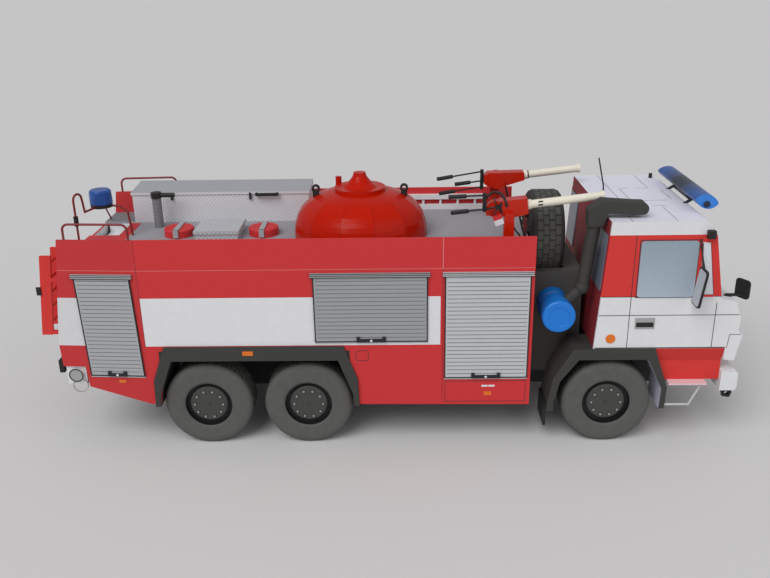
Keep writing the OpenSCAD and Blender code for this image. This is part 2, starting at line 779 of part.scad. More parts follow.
// roller shutter lying on y = 0: slatted curtain, side rails, head rail and handle
// its sides lean by skew per millimetre of height
shutter_top = deck_z - 5.8;
head_h = 1.8;
rail_w = 0.9;
module shutter(x0, x1, z0, grasp, skew = 0) {
    mid = (z0 + shutter_top) / 2;
    foot = skew * (z0 - mid);
    head = skew * (shutter_top - mid);
    difference() {
        across(0, sheet_t)
            polygon([[x0 + foot, z0], [x1 + foot, z0], [x1 + head, shutter_top], [x0 + head, shutter_top]]);
        for (z = [z0 + slat_h:slat_h:shutter_top - slat_h / 2])
            translate([skew * (z - mid), 0, 0])
                box([x0 + rail_w, sheet_t - slat_groove, z - 0.15], [x1 - rail_w, sheet_t + 1, z + 0.15]);
    }
    across(0, sheet_t + 0.4)
        translate([x0 + head - 1, shutter_top]) square([x1 - x0 + 2, head_h]);
    across(sheet_t - slat_groove, sheet_t + 0.5) translate([(x0 + x1) / 2 + foot, z0])
        polygon(round_box(-grasp, 0, grasp, 1.4, 0.5));
}

front_shutter = 33.1;
mid_shutter = 44.6;
module shutters() {
    color([0.7, 0.71, 0.72]) at_axle() both_sides() {
        translate([front_wall_x, half_w, 0]) {
            shutter(-1.4 - front_shutter, -1.4, skirt_z + 12.6, 5.6);
            shutter(-41.3 - mid_shutter, -41.3, arch_z + arch_trim + 2.1, 5.6);
        }
        translate([fold_x, half_w, 0]) rotate([0, 0, atan(tail_taper / tail_l)])
            shutter(11 - tail_l, -2.2, skirt_z + 14.1, 3.8, -0.035);
    }
}

module arch_trims() {
    color([0.24, 0.24, 0.22]) at_axle() both_sides() across(half_w, half_w + card_t) difference() {
        polygon(trim_line);
        polygon(arch_line(0));
        translate([tail_x, 0]) square([-tail_x, skirt_z + 0.2]);
    }
}

// Tail

// lamp box under each corner of the tail, with a round coupling on its outer face
lamp_y = wall_y(tail_x) - card_t;
module rear_lamps() {
    color([0.88, 0.88, 0.9]) at_axle() both_sides() {
        box([tail_x + 1, lamp_y - 9, tail_floor - 8.4], [tail_x + 9, lamp_y, tail_floor]);
        translate([tail_x + 5, lamp_y, tail_floor - 4.2]) rotate([-90, 0, 0]) cylinder(h = 1, d = 6.2);
    }
}

// ladder with deep stringers, held off the rear wall by two pairs of brackets
ladder_y = ladder_w / 2 + 7 - half_w;
ladder_foot = knee_z + 1.5;
ladder_head = deck_z + 1.5;
ladder_lean = 4 / (ladder_head - ladder_foot);
stringer_t = 1.2;
stringer_w = 4.4;
function ladder_x(z) = rear_most + (z - ladder_foot) * ladder_lean;
module ladder_stringer() {
    polygon([[ladder_x(ladder_foot), ladder_foot], [ladder_x(ladder_foot) + stringer_w, ladder_foot],
        [ladder_x(ladder_head) + stringer_w, ladder_head], [ladder_x(ladder_head), ladder_head]]);
    for (z = [ladder_foot + 0.2, bend_z + 4])
        let (wall = z < bend_z ? tail_x + (z - knee_z) * 2.6 / (bend_z - knee_z) : tail_edge(z))
        polygon([[ladder_x(z) + stringer_w - 1, z], [wall - glue_gap, z], [wall - glue_gap, z + 1.6],
            [ladder_x(z) + stringer_w - 1, z + 1.6]]);
}

module rear_ladder() {
    color([0.7, 0.12, 0.14]) at_axle() {
        for (s = [-1, 1])
            let (y = ladder_y + s * (ladder_w - stringer_t) / 2)
            across(y - stringer_t / 2, y + stringer_t / 2) ladder_stringer();
        for (z = [ladder_foot + 4:6.4:ladder_head - 2])
            rod([ladder_x(z) + stringer_w / 2, ladder_y - ladder_w / 2 + 0.6, z],
                [ladder_x(z) + stringer_w / 2, ladder_y + ladder_w / 2 - 0.6, z], 1.2);
    }
}

// rail of one bent wire on the middle of each tail wall
rail_in = 1.5;
rail_l = tail_l - rail_in - 8.6;
rail_r = 2.4;
module rails() {
    d = wire_d * 0.9;
    color([0.5, 0.15, 0.15]) at_axle() both_sides()
        translate([fold_x, half_w - card_t / 2, wall_top]) rotate([0, 0, atan(tail_taper / tail_l)])
            translate([-rail_in, 0, 0]) {
                for (x = [0, -rail_l])
                    translate([x, 0, 0]) cylinder(h = rail_h - rail_r, d = d, $fn = 24);
                translate([-rail_r, 0, rail_h - rail_r]) bend(rail_r, d);
                translate([rail_r - rail_l, 0, rail_h - rail_r]) mirror([1, 0, 0]) bend(rail_r, d);
                translate([rail_r - rail_l, 0, rail_h]) rotate([0, 90, 0])
                    cylinder(h = rail_l - 2 * rail_r, d = d, $fn = 24);
            }
}

// bent wire over the rear end of the deck that carries the beacon
beacon_x = tail_x + 11.6;
beacon_z = deck_z + 14.4;
hump_r = 2.3;
hump_dir = unit([beacon_x - deck_end - 1, 14, 0]);
leg_foot = [deck_end + 1, -14, deck_z];
hump_mid = leg_foot + hump_dir * hump_r + [0, 0, 19];
front_leg = [deck_end + well_l + 6, 0, deck_z];
hump = [for (a = [180:-30:0]) hump_mid + hump_r * (cos(a) * hump_dir + [0, 0, sin(a)])];
beacon_wire = concat([leg_foot], hump, [
    leg_foot + hump_dir * (2 * hump_r + 0.8) + [0, 0, beacon_z - deck_z - 1.4],
    [beacon_x, 0, beacon_z - 0.9],
    front_leg + [-4, 0, beacon_z - deck_z - 1.4],
    front_leg + [-1, 0, beacon_z - deck_z - 4],
    front_leg
]);
module beacon_frame() {
    color([0.35, 0.12, 0.12]) at_axle() {
        wire(beacon_wire, wire_d * 0.9);
        rod([deck_end + 1.6, well_y + 4, deck_z + wire_d * 0.35], [beacon_x, 2, beacon_z - 0.9],
            wire_d * 0.7);
        translate([beacon_x, 0, beacon_z - 1.6]) cylinder(h = 1.6, d = beacon_d - 1);
    }
}

module beacon() {
    color([0.08, 0.25, 0.65]) at_axle() translate([beacon_x, 0, beacon_z])
        rotate_extrude() polygon([[0, 0], [beacon_d / 2, 0], [beacon_d / 2 - 0.2, beacon_h - 0.6],
            [beacon_d / 2 - 0.8, beacon_h], [0, beacon_h]]);
}

// Roof

dome_x = front_wall_x - dome_back;
dome_r = dome_d / 2;
locker_y = half_w - locker_w - 2.5;
locker_rear = deck_end + well_l + 1.3;
dome_rear = dome_x - dome_r;
locker_front = dome_x - sqrt(max(0, pow(dome_r, 2) - pow(locker_y - 2, 2))) - 2;
lid_h = 2.4;
lid_over = 0.5;
lid_fall = 1.3;
lid_z = deck_z + locker_h;
module locker() {
    color([0.72, 0.73, 0.75]) at_axle() {
        box([locker_rear, locker_y, deck_z], [locker_front, locker_y + locker_w, lid_z - lid_h]);
        along(locker_rear - lid_over, locker_front + lid_over)
            polygon([[locker_y - lid_over, lid_z - lid_h], [locker_y + locker_w, lid_z - lid_h],
                [locker_y + locker_w, lid_z], [locker_y - lid_over, lid_z - lid_fall]]);
    }
}

// hatches in a row between the opening of the deck and the dome
row_start = deck_end + well_l + 2;
vent_d = 4;
row_free = dome_rear - row_start - vent_d - 2 * hatch_d - square_hatch;
// places along the row, which share the free length between them
vent_x = row_start + row_free * 0.4 + vent_d / 2;
first_hatch = vent_x + vent_d / 2 + row_free * 0.14 + hatch_d / 2;
box_hatch = first_hatch + hatch_d / 2 + row_free * 0.07 + square_hatch / 2;
second_hatch = box_hatch + square_hatch / 2 + row_free * 0.11 + hatch_d / 2;
vent_y = locker_y - 7.5;
vent_h = 13.2;
module vent_pipe() {
    color([0.5, 0.5, 0.52]) at_axle() translate([vent_x, vent_y, deck_z]) cylinder(h = vent_h, d = vent_d);
}

hatch_h = 3.4;
module round_hatch(x) {
    translate([x, 0, deck_z]) {
        cylinder(h = hatch_h - 0.4, d = hatch_d);
        translate([0, 0, hatch_h - 0.4]) cylinder(h = 0.4, d1 = hatch_d, d2 = hatch_d - 0.8);
        translate([-1, -hatch_d / 2 - 0.4, hatch_h]) cube([2, hatch_d + 0.8, 0.5]);
    }
}

module hatches() {
    color([0.75, 0.2, 0.2]) at_axle() {
        round_hatch(first_hatch);
        round_hatch(second_hatch);
        translate([box_hatch, 0, deck_z]) {
            translate([0, 0, 1.4]) cube([square_hatch - 1, square_hatch - 1, 2.8], center = true);
            translate([0, 0, 3.5]) cube([square_hatch, square_hatch, 1.4], center = true);
        }
    }
}

// tank dome: steep sides that round over to a rim, with a flared neck
rim_d = 21.2;
rim_h = 1.6;
neck_d = 5.2;
dome_round = 2.6;
dome_line = [for (a = [0:6:72])
    [dome_r * pow(cos(a), 2 / dome_round), dome_h * pow(sin(a), 2 / dome_round)]];
dome_top = dome_line[len(dome_line) - 1][1];
neck_line = [for (k = [0:6]) let (t = k / 6)
    [neck_d / 2 + (rim_d / 2 - 3.4 - neck_d / 2) * pow(1 - t, 1.5), dome_top + rim_h + 5.4 * t]];
module tank_dome() {
    color([0.8, 0.12, 0.08]) at_axle() translate([dome_x, 0, deck_z]) {
        rotate_extrude($fn = 96)
            polygon(concat([[0, 0]], dome_line, [[rim_d / 2, dome_top], [rim_d / 2, dome_top + rim_h]],
                neck_line, [[neck_d / 2, dome_top + rim_h + 6], [0, dome_top + rim_h + 6]]));
        translate([-9.5, 9, dome_h * 0.7]) cylinder(h = dome_h * 0.3 + 3, d = 2.6);
    }
}

// black fittings: handle bar and hinge straps of the locker, cap of the vent pipe, lifting eyes
handle_l = 10;
module locker_handle() {
    face = locker_y - lid_over;
    handle_x = (locker_rear + locker_front) / 2 + 21;
    translate([0, face, deck_z + locker_h - lid_fall - 1.6]) {
        for (x = [handle_x - handle_l / 2, handle_x + handle_l / 2 - 1])
            box([x, -1, 0], [x + 1, 0, 1.2]);
        box([handle_x - handle_l / 2, -2, 0], [handle_x + handle_l / 2, -1, 1.2]);
    }
    for (x = [handle_x - handle_l / 2 - 3, handle_x - handle_l / 2 - 38])
        box([x, face - 0.5, deck_z + locker_h - 4.8], [x + 1, face, deck_z + locker_h - lid_fall - 0.4]);
}

module lifting_eye(x) {
    difference() {
        translate([x, 0, dome_h * 0.8]) rotate([90, 0, 0]) linear_extrude(1.6, center = true) difference() {
            union() {
                translate([-1.3, 0]) square([2.6, 4]);
                translate([0, 4]) circle(d = 3.4);
            }
            translate([0, 4.1]) circle(d = 1.6);
        }
        rotate_extrude($fn = 96) polygon(concat([[0, 0]], [for (p = dome_line) p + [glue_gap, glue_gap]],
            [[0, dome_top + glue_gap]]));
    }
}

module roof_fittings() {
    color([0.05, 0.05, 0.05]) at_axle() {
        locker_handle();
        translate([vent_x, vent_y, deck_z + vent_h]) {
            cylinder(h = 2.4, d = vent_d + 0.6);
            translate([0, 0, 1.2]) rotate([0, 90, 0]) cylinder(h = 8, d = 2);
        }
        translate([dome_x, 0, deck_z]) for (s = [-1, 1])
            lifting_eye(s * dome_r * 0.66);
    }
}

// ladder stowed on edge against the left wall of the deck
stowed_l = 40;
module deck_ladder() {
    color([0.85, 0.85, 0.86]) at_axle() {
        for (z = [deck_z, deck_z + 4.7])
            box([front_wall_x - 13 - stowed_l, inner_w - 2, z], [front_wall_x - 13, inner_w, z + 2.2]);
        for (i = [0:4])
            translate([front_wall_x - 13 - stowed_l + 4 + i * (stowed_l - 8) / 4, inner_w - 1, deck_z + 2])
                cylinder(h = 2.9, d = 1.2);
    }
}

// monitors: a post beside the gun, a tapered head and a round flange behind it
monitor_x = front_wall_x - 9.4;
monitor_y = inner_w - monitor_inset;
barrel_z = cab_top + 3.7 - deck_z;
barrel_dir = [cos(barrel_rise), sin(barrel_rise)];
head_back = -5.2;
function flange_r(s) = s < 0 ? 3.3 : 3.6;
function flange_x(s) = s < 0 ? head_back : 0.4;
function flange_w(s) = s < 0 ? 2.6 : 6.6;
// the right gun has a short blunt head and the left one a long tapered head
function head_l(s) = s < 0 ? 7.4 : 12.4;
function head_half(s) = s < 0 ? 3.1 : 1.8;
function barrel_at(x) = [x, barrel_z + (x - 10) * tan(barrel_rise)];
module monitors() {
    color([0.8, 0.1, 0.08]) at_axle() for (s = [-1, 1]) translate([monitor_x, s * monitor_y, deck_z]) {
        translate([0, s * 3.4, 0.6]) cube([7, 6, 1.2], center = true);
        across(s * 3.7 - 1.6, s * 3.7 + 1.6)
            polygon([[-2.2, 1], [2.2, 1], [1.8, barrel_z - 2.4], [-1.8, barrel_z - 2.4]]);
        across(-2.7, 2.7)
            polygon([barrel_at(head_l(s)) - left_of(barrel_dir) * head_half(s),
                barrel_at(head_l(s)) + left_of(barrel_dir) * head_half(s),
                [-3.4, barrel_z + 1.8], [head_back, barrel_z + 0.4], [head_back, barrel_z - 3],
                [-3.6, barrel_z - 4.2], [1.7, barrel_z - 4.8]]);
        translate([flange_x(s), flange_w(s) / 2, barrel_z - 1.6]) rotate([90, 0, 0])
            cylinder(h = flange_w(s), r = flange_r(s));
    }
}

// barrel with a collar at the head and a ring at the muzzle
module monitor_barrels() {
    color([0.9, 0.88, 0.82]) at_axle() for (s = [-1, 1])
        let (foot = barrel_at(head_l(s)), l = (barrel_reach - foot[0]) / cos(barrel_rise))
        translate([monitor_x + foot[0], s * monitor_y, deck_z + foot[1]]) rotate([0, 90 - barrel_rise, 0]) {
            cylinder(h = 1.6, d = barrel_d + 0.7);
            cylinder(h = l, d = barrel_d);
            translate([0, 0, l - 1.4]) cylinder(h = 1.4, d = barrel_d + 0.6);
        }
}

// two grips on rods behind each flange, joined by a cross link, and a hose down to the deck
grip_d = 1.7;
grip_l = 7;
module grip(foot, head) {
    dir = unit(head - foot);
    rod(foot, head - dir * (grip_l - 0.5), wire_d * 0.7);
    rod(head - dir * grip_l, head, grip_d);
}

function link_x(s) = min(flange_x(s) - flange_r(s), head_back) - glue_gap;
module link(s, z0, z1) {
    box([link_x(s) - 1.4, -0.9, barrel_z + z0], [link_x(s), 0.9, barrel_z + z1]);
}

module monitor_handles() {
    color([0.08, 0.08, 0.08]) at_axle() for (s = [-1, 1]) translate([monitor_x, s * monitor_y, deck_z]) {
        if (s < 0) {
            link(s, -2.8, 4.4);
            grip([link_x(s) - 0.7, 0, barrel_z + 3.6], [-23, 4, barrel_z + 2]);
            grip([link_x(s) - 0.7, 0, barrel_z - 2], [-22, 4, barrel_z - 4.5]);
        } else {
            link(s, -6, 2.8);
            grip([link_x(s) - 0.7, 0, barrel_z + 2], [-26, -4, barrel_z - 0.3]);
            grip([link_x(s) - 0.7, 0, barrel_z - 2.2], [-18, -0.5, barrel_z - 3.6]);
            grip([link_x(s) - 0.7, 0, barrel_z - 5], [-25, -4, barrel_z - 6.8]);
        }
        wire([[8.4, 0.2, 0], [8.4, 0.2, 2], [6.2, 0.6, 7.4], [4.6, 0.3, barrel_z - 4.6]], wire_d * 0.8);
    }
}

chassis();
bearers();
front_axle();
middle_axle();
rear_axle();
tyre_front_right();
tyre_front_left();
tyre_middle_right();
tyre_middle_left();
tyre_rear_right();
tyre_rear_left();
front_hubs();
middle_hubs();
rear_hubs();
cab_side_right();
cab_side_left();
cab_front();
cab_roof();
cab_rear();
cab_floor();
cab_windows();
front_fenders();
mud_flaps();
cab_apron();
bumper();
lamp_boxes();
steps();
light_bar();
light_bar_base();
cab_fittings();
mirrors();
spare_carrier();
spare_tyre();
spare_hub();
air_filter();
snorkel();
body_side_right();
body_side_left();
body_front();
body_rear();
body_floor();
arch_liner();
deck();
rear_well();
shutters();
arch_trims();
rear_lamps();
rear_ladder();
rails();
beacon_frame();
beacon();
locker();
vent_pipe();
hatches();
tank_dome();
roof_fittings();
deck_ladder();
monitors();
monitor_barrels();
monitor_handles();
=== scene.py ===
"""Finishes and prints for the card model of a six-wheel airport fire truck, with its stage."""

import math

import bmesh
import bpy
from mathutils import Matrix, Vector


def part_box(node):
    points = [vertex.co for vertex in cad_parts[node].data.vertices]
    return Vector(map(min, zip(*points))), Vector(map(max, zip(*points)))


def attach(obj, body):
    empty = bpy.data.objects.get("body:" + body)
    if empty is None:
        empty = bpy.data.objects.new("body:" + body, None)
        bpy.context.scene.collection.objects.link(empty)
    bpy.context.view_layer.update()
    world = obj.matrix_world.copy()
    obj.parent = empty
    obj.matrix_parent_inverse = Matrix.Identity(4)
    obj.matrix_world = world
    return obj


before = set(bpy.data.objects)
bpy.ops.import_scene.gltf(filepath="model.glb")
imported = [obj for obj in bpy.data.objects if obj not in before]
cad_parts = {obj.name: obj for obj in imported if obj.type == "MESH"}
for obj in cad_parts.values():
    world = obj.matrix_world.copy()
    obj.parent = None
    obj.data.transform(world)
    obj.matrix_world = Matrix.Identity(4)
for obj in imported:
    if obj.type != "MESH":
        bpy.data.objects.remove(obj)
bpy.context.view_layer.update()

bl_info = {
    "name": "Card fire truck",
    "version": (1, 0, 0),
    "blender": (4, 5, 0),
    "location": "View3D > Sidebar > Fire truck",
    "description": "Prints, finishes and stage of a card model of an airport fire truck",
    "category": "Object",
}

MM = 0.001
# a print lies this far over the card, in millimetres
INK = 0.06
BODY = "truck"
MATH = "ShaderNodeMath"
MIX = "ShaderNodeMix"
WHEELS = {"front": "front_wheels", "middle": "middle_wheels", "rear": "rear_wheels"}


def box_mm(node):
    """Lowest and highest corner of a CAD node in millimetres."""
    low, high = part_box(node)
    return Vector(low) / MM, Vector(high) / MM


def axle_place(name):
    """Middle of an axle in millimetres."""
    low, high = box_mm(f"{name}_axle")
    return (low + high) / 2


# the print is measured from the front axle, as the card parts are
AXLE_X = axle_place("front").x
WHEEL_R = axle_place("front").z
HALF_BODY = box_mm("body_side_left")[1].y
HALF_CAB = box_mm("cab_side_left")[1].y
TAIL_X = box_mm("body_side_left")[0].x - AXLE_X
FOLD_X = TAIL_X + 35.5
TAIL_TAPER = 2.0
# front end of the white band, fold behind the front panel, and foot of the panel's skirt
PANEL_X = -68.0
SEAM_X = -67.2
SKIRT_Z = 19.8
# a pale line runs over the shutters, whose slats end this far under the deck
LINE_Z = 77.3
SLATS_UNDER = 5.8
# most drawn lines are this wide
LINE_W = 0.25
DECK_Z = box_mm("deck")[1].z
WALL_TOP = box_mm("body_side_left")[1].z
CAB_TOP = box_mm("cab_side_left")[1].z
CAB_FLOOR = box_mm("cab_side_left")[0].z
# the cab's white doors end at the belt, and its windows begin at the sill
BELT_Z = 64.6
SILL_Z = 63.4
# the barrels of the monitors point up by this angle
BARREL_RISE = math.radians(6.5)
BARREL_R = 1.6
# the square hatch stands between the round ones, which end the row of hatches
HATCH_R = 6.3
SQUARE = 19.0
FIRST_HATCH = box_mm("hatches")[0].x - AXLE_X + HATCH_R
SECOND_HATCH = box_mm("hatches")[1].x - AXLE_X - HATCH_R
HATCH_ROOM = SECOND_HATCH - FIRST_HATCH - 2 * HATCH_R - SQUARE
SQUARE_HATCH = FIRST_HATCH + HATCH_R + SQUARE / 2 + HATCH_ROOM * 7 / 18
HUB_R = (box_mm("front_hubs")[1].x - box_mm("front_hubs")[0].x) / 2
WELL_R = HUB_R + 2.0


def wall_y(x):
    """Half width of the body at x, which shrinks along the tail."""
    return HALF_BODY - TAIL_TAPER * max(0.0, FOLD_X - x) / (FOLD_X - TAIL_X)


# Materials


def linear(code):
    """sRGB hex colour as linear RGBA."""
    parts = [int(code[i:i + 2], 16) / 255 for i in (1, 3, 5)]
    return tuple(c / 12.92 if c <= 0.04045 else ((c + 0.055) / 1.055) ** 2.4 for c in parts) + (1.0,)


def add(tree, kind, inputs=(), **settings):
    """Adds a node, sets its properties, and sets its inputs or links them to sockets and other nodes."""
    node = tree.nodes.new(kind)
    for key, value in settings.items():
        setattr(node, key, value)
    for key, value in inputs.items() if isinstance(inputs, dict) else enumerate(inputs):
        if isinstance(value, bpy.types.Node):
            value = next(socket for socket in value.outputs if socket.enabled)
        if isinstance(value, bpy.types.NodeSocket):
            tree.links.new(value, node.inputs[key])
        else:
            node.inputs[key].default_value = value
    return node


def start_material(name, roughness, **sockets):
    """New material with a principled shader, and its tree, shader and object coordinates."""
    material = bpy.data.materials.new(name)
    material.use_nodes = True
    tree = material.node_tree
    shader = tree.nodes["Principled BSDF"]
    shader.inputs["Roughness"].default_value = roughness
    for key, value in sockets.items():
        shader.inputs[key.replace("_", " ")].default_value = value
    place = add(tree, "ShaderNodeTexCoord").outputs["Object"]
    return material, tree, shader, place


def card(name, code, roughness=0.72, pattern=None, fibre_mm=2.4, depth=0.035, **sockets):
    """Printed card: an even ink with the faint mottling of paper fibre under it."""
    material, tree, shader, place = start_material(name, roughness, **sockets)
    ink = linear(code)
    if pattern:
        ink = pattern(tree, place, ink)
    # real fibres are far thinner, so the mottling is drawn as coarse as it needs to show
    fibre = add(tree, "ShaderNodeTexNoise", {"Vector": place, "Scale": 1 / (fibre_mm * MM), "Detail": 3.0})
    shade = add(tree, "ShaderNodeMapRange", {"Value": fibre, "From Min": 0.3, "From Max": 0.7,
                                             "To Min": 1 - depth, "To Max": 1.0})
    tone = add(tree, MIX, {"Factor": 1.0, "A": ink, "B": shade}, data_type="RGBA", blend_type="MULTIPLY")
    tree.links.new(tone.outputs["Result"], shader.inputs["Base Color"])
    return material


def chequer(pitch_mm, rib, plate=None):
    """Crossed ribs of a chequer plate as a printed lattice, on the plate's ink or the card's own."""
    def pattern(tree, place, ink):
        # the lattice is drawn as coarse as it needs to show; a rib is where its wave passes this height
        rib_edge = 0.86
        ribs = 0.0
        for way in ((1, 1, 1), (1, -1, -1)):
            dot = add(tree, "ShaderNodeVectorMath", (place, way), operation="DOT_PRODUCT")
            turn = add(tree, MATH, (dot.outputs["Value"], math.pi / (pitch_mm * MM)), operation="MULTIPLY")
            wave = add(tree, MATH, (add(tree, MATH, (turn,), operation="SINE"),), operation="ABSOLUTE")
            line = add(tree, MATH, (wave, rib_edge), operation="GREATER_THAN")
            ribs = add(tree, MATH, (line, ribs), operation="MAXIMUM")
        ground = linear(plate) if plate else ink
        return add(tree, MIX, {"Factor": ribs, "A": ground, "B": linear(rib)}, data_type="RGBA")
    return pattern


def layer(ink, share=1.0, **bounds):
    """Ink or pattern to lay over others, how strongly, and between which bounds; see printed."""
    return ink, share, bounds


def printed(*layers):
    """Pattern of inks laid over each other.

    The ways x, y, z and out, which is y without its sign, have bounds in millimetres, x from the front
    axle. The ways ahead, aside and up have bounds for the part of the surface's normal that points there.
    A share that fades is given as its way, the places where it is none and full, and the kind of fade.
    """
    def pattern(tree, place, ink):
        at = dict(zip("xyz", add(tree, "ShaderNodeSeparateXYZ", (place,)).outputs))
        at["out"] = add(tree, MATH, (at["y"],), operation="ABSOLUTE")
        if {"ahead", "aside", "up"} & {way for _, _, bounds in layers for way in bounds}:
            normal = add(tree, "ShaderNodeNewGeometry").outputs["Normal"]
            at["ahead"], sideways, at["up"] = add(tree, "ShaderNodeSeparateXYZ", (normal,)).outputs
            at["aside"] = add(tree, MATH, (sideways,), operation="ABSOLUTE")
        for over, share, bounds in layers:
            if isinstance(share, tuple):
                way, none_at, full_at, kind = share
                share = add(tree, "ShaderNodeMapRange", {"Value": at[way], "From Min": none_at * MM,
                                                         "From Max": full_at * MM}, interpolation_type=kind)
            for way, limits in bounds.items():
                for limit, test in zip(limits, ("GREATER_THAN", "LESS_THAN")):
                    if limit is None:
                        continue
                    if way in ("x", "y", "z", "out"):
                        limit = (limit + (AXLE_X if way == "x" else 0)) * MM
                    inside = add(tree, MATH, (at[way], limit), operation=test)
                    share = add(tree, MATH, (share, inside), operation="MULTIPLY")
            colour = over(tree, place, ink) if callable(over) else linear(over)
            ink = add(tree, MIX, {"Factor": share, "A": ink, "B": colour}, data_type="RGBA")
        return ink
    return pattern


def body_print(*more):
    """Red side with a broad white band that stops at the front panel, dark inside the wheel arch."""
    sizes = bpy.context.scene.truck_sizes
    band = sizes.band_low / MM, sizes.band_high / MM
    low, high = box_mm("arch_trims")
    rim = 3.4
    tail_white = TAIL_X + 14
    return printed(
        layer(WHITE, z=band, x=(FOLD_X, PANEL_X)),
        layer(WHITE, z=band, x=(None, tail_white)),
        # the tail is laid a little darker as painted shade, and a thin pale line runs over the shutters
        layer("#593034", 0.12, x=(None, FOLD_X)),
        layer("#cf6466", z=(LINE_Z, LINE_Z + 0.3)),
        layer("#2c2c2c", x=(low.x + rim - AXLE_X, high.x - rim - AXLE_X), z=(None, high.z - 2)),
        *more)


def drum_print():
    """Blue drum with dark lines beside its hoops."""
    end = box_mm("air_filter")[0].y
    half = 0.2
    return printed(*[layer("#0c4f96", y=(end + v - half, end + v + half)) for v in (6.4, 11.4, 12.8)])


def dome_card(name, code):
    """Lacquered card dome: twelve flat gores that meet in dark seams."""
    material, tree, shader, place = start_material(name, roughness=0.24, Specular_IOR_Level=0.12)
    low, high = box_mm("tank_dome")
    centre = (low + high) / 2 * MM
    radius = (high.x - low.x) / 2 * MM
    gore = 2 * math.pi / 12
    hat_z = DECK_Z + 16.5
    seam_w = 0.01
    fold_share, seam_share = 0.35, 0.25
    x, y, z = add(tree, "ShaderNodeSeparateXYZ", (place,)).outputs
    along = add(tree, MATH, (x, centre.x), operation="SUBTRACT")
    across = add(tree, MATH, (y, centre.y), operation="SUBTRACT")
    turn = add(tree, MATH, (across, along), operation="ARCTAN2")
    # the angle from the middle of a gore gives how far the flat gore lies under the round dome
    whole = add(tree, MATH, (turn, 8 * math.pi), operation="ADD")
    off = add(tree, MATH, (whole, gore / 2), operation="PINGPONG")
    part = add(tree, MATH, (off,), operation="COSINE")
    reach = add(tree, MATH, (radius * math.cos(gore / 2), part), operation="DIVIDE")
    sunk = add(tree, MATH, (reach, radius), operation="SUBTRACT")
    # the hat is smooth, and under it the folds and seams show in part
    under = add(tree, MATH, (z, hat_z * MM), operation="LESS_THAN")
    folded = add(tree, MATH, (under, fold_share), operation="MULTIPLY")
    fold = add(tree, MATH, (sunk, folded), operation="MULTIPLY")
    grain = add(tree, "ShaderNodeTexNoise", {"Vector": place, "Scale": 1 / (1.6 * MM), "Detail": 2.0})
    rough = add(tree, MATH, (grain, 0.06 * MM), operation="MULTIPLY")
    height = add(tree, MATH, (fold, rough), operation="ADD")
    bump = add(tree, "ShaderNodeBump", {"Height": height, "Distance": 1.0})
    tree.links.new(bump.outputs["Normal"], shader.inputs["Normal"])
    edge = add(tree, MATH, (off, gore / 2 - seam_w), operation="GREATER_THAN")
    dark = add(tree, MATH, (under, seam_share), operation="MULTIPLY")
    seam = add(tree, MATH, (edge, dark), operation="MULTIPLY")
    ink = add(tree, MIX, {"Factor": seam, "A": linear(code), "B": linear("#6a1208")}, data_type="RGBA")
    tree.links.new(ink.outputs["Result"], shader.inputs["Base Color"])
    return material


def hex_of(colour):
    """Hex code of a colour setting, which is sRGB already."""
    return "#" + "".join(f"{round(255 * part):02x}" for part in colour)


WHITE = "#dbdcde"
HATCH_RED = "#c8282c"
FENDER_GREY = "#353532"
SHADE_GREY = "#77797b"
INKS = {}


def make_red_inks(look):
    """Red printed card, matte unless its comment says more."""
    body, cab = hex_of(look.body_red), hex_of(look.cab_red)
    # body side: even cool red that turns white in a sharp band, with painted shade on the tail
    INKS["body_red"] = card("Card_body_red", body, pattern=body_print())
    # rear wall: the same print and painted shade outside, bare white paper inside
    INKS["tail_red"] = card("Card_tail_red", body, pattern=body_print(layer(WHITE, ahead=(0.5, None))))
    # cab: a warmer red between white doors and a white roof edge
    INKS["cab_red"] = card("Card_cab_red", cab, pattern=printed(
        layer(WHITE, z=(CAB_FLOOR - 1, BELT_Z)), layer(WHITE, z=(CAB_TOP - 5.1, CAB_TOP + 1))))
    # apron, floor and walls: the cab's warm red, plain
    INKS["red"] = card("Card_red", cab)
    # shaded wall: a deep, dull red
    INKS["dark_red"] = card("Card_dark_red", "#8c2027")
    # roof fields: satin red with a weak sheen
    INKS["hatch_red"] = card("Card_hatch_red", HATCH_RED, roughness=0.55)
    # hatches: satin red, and a grey plate with fine crossed ribs on the square one
    half = 9.8
    INKS["hatch"] = card("Card_hatches", HATCH_RED, roughness=0.55, pattern=printed(
        layer(chequer(1.8, "#bfc0c4", "#a2a3a7"), x=(SQUARE_HATCH - half, SQUARE_HATCH + half))))


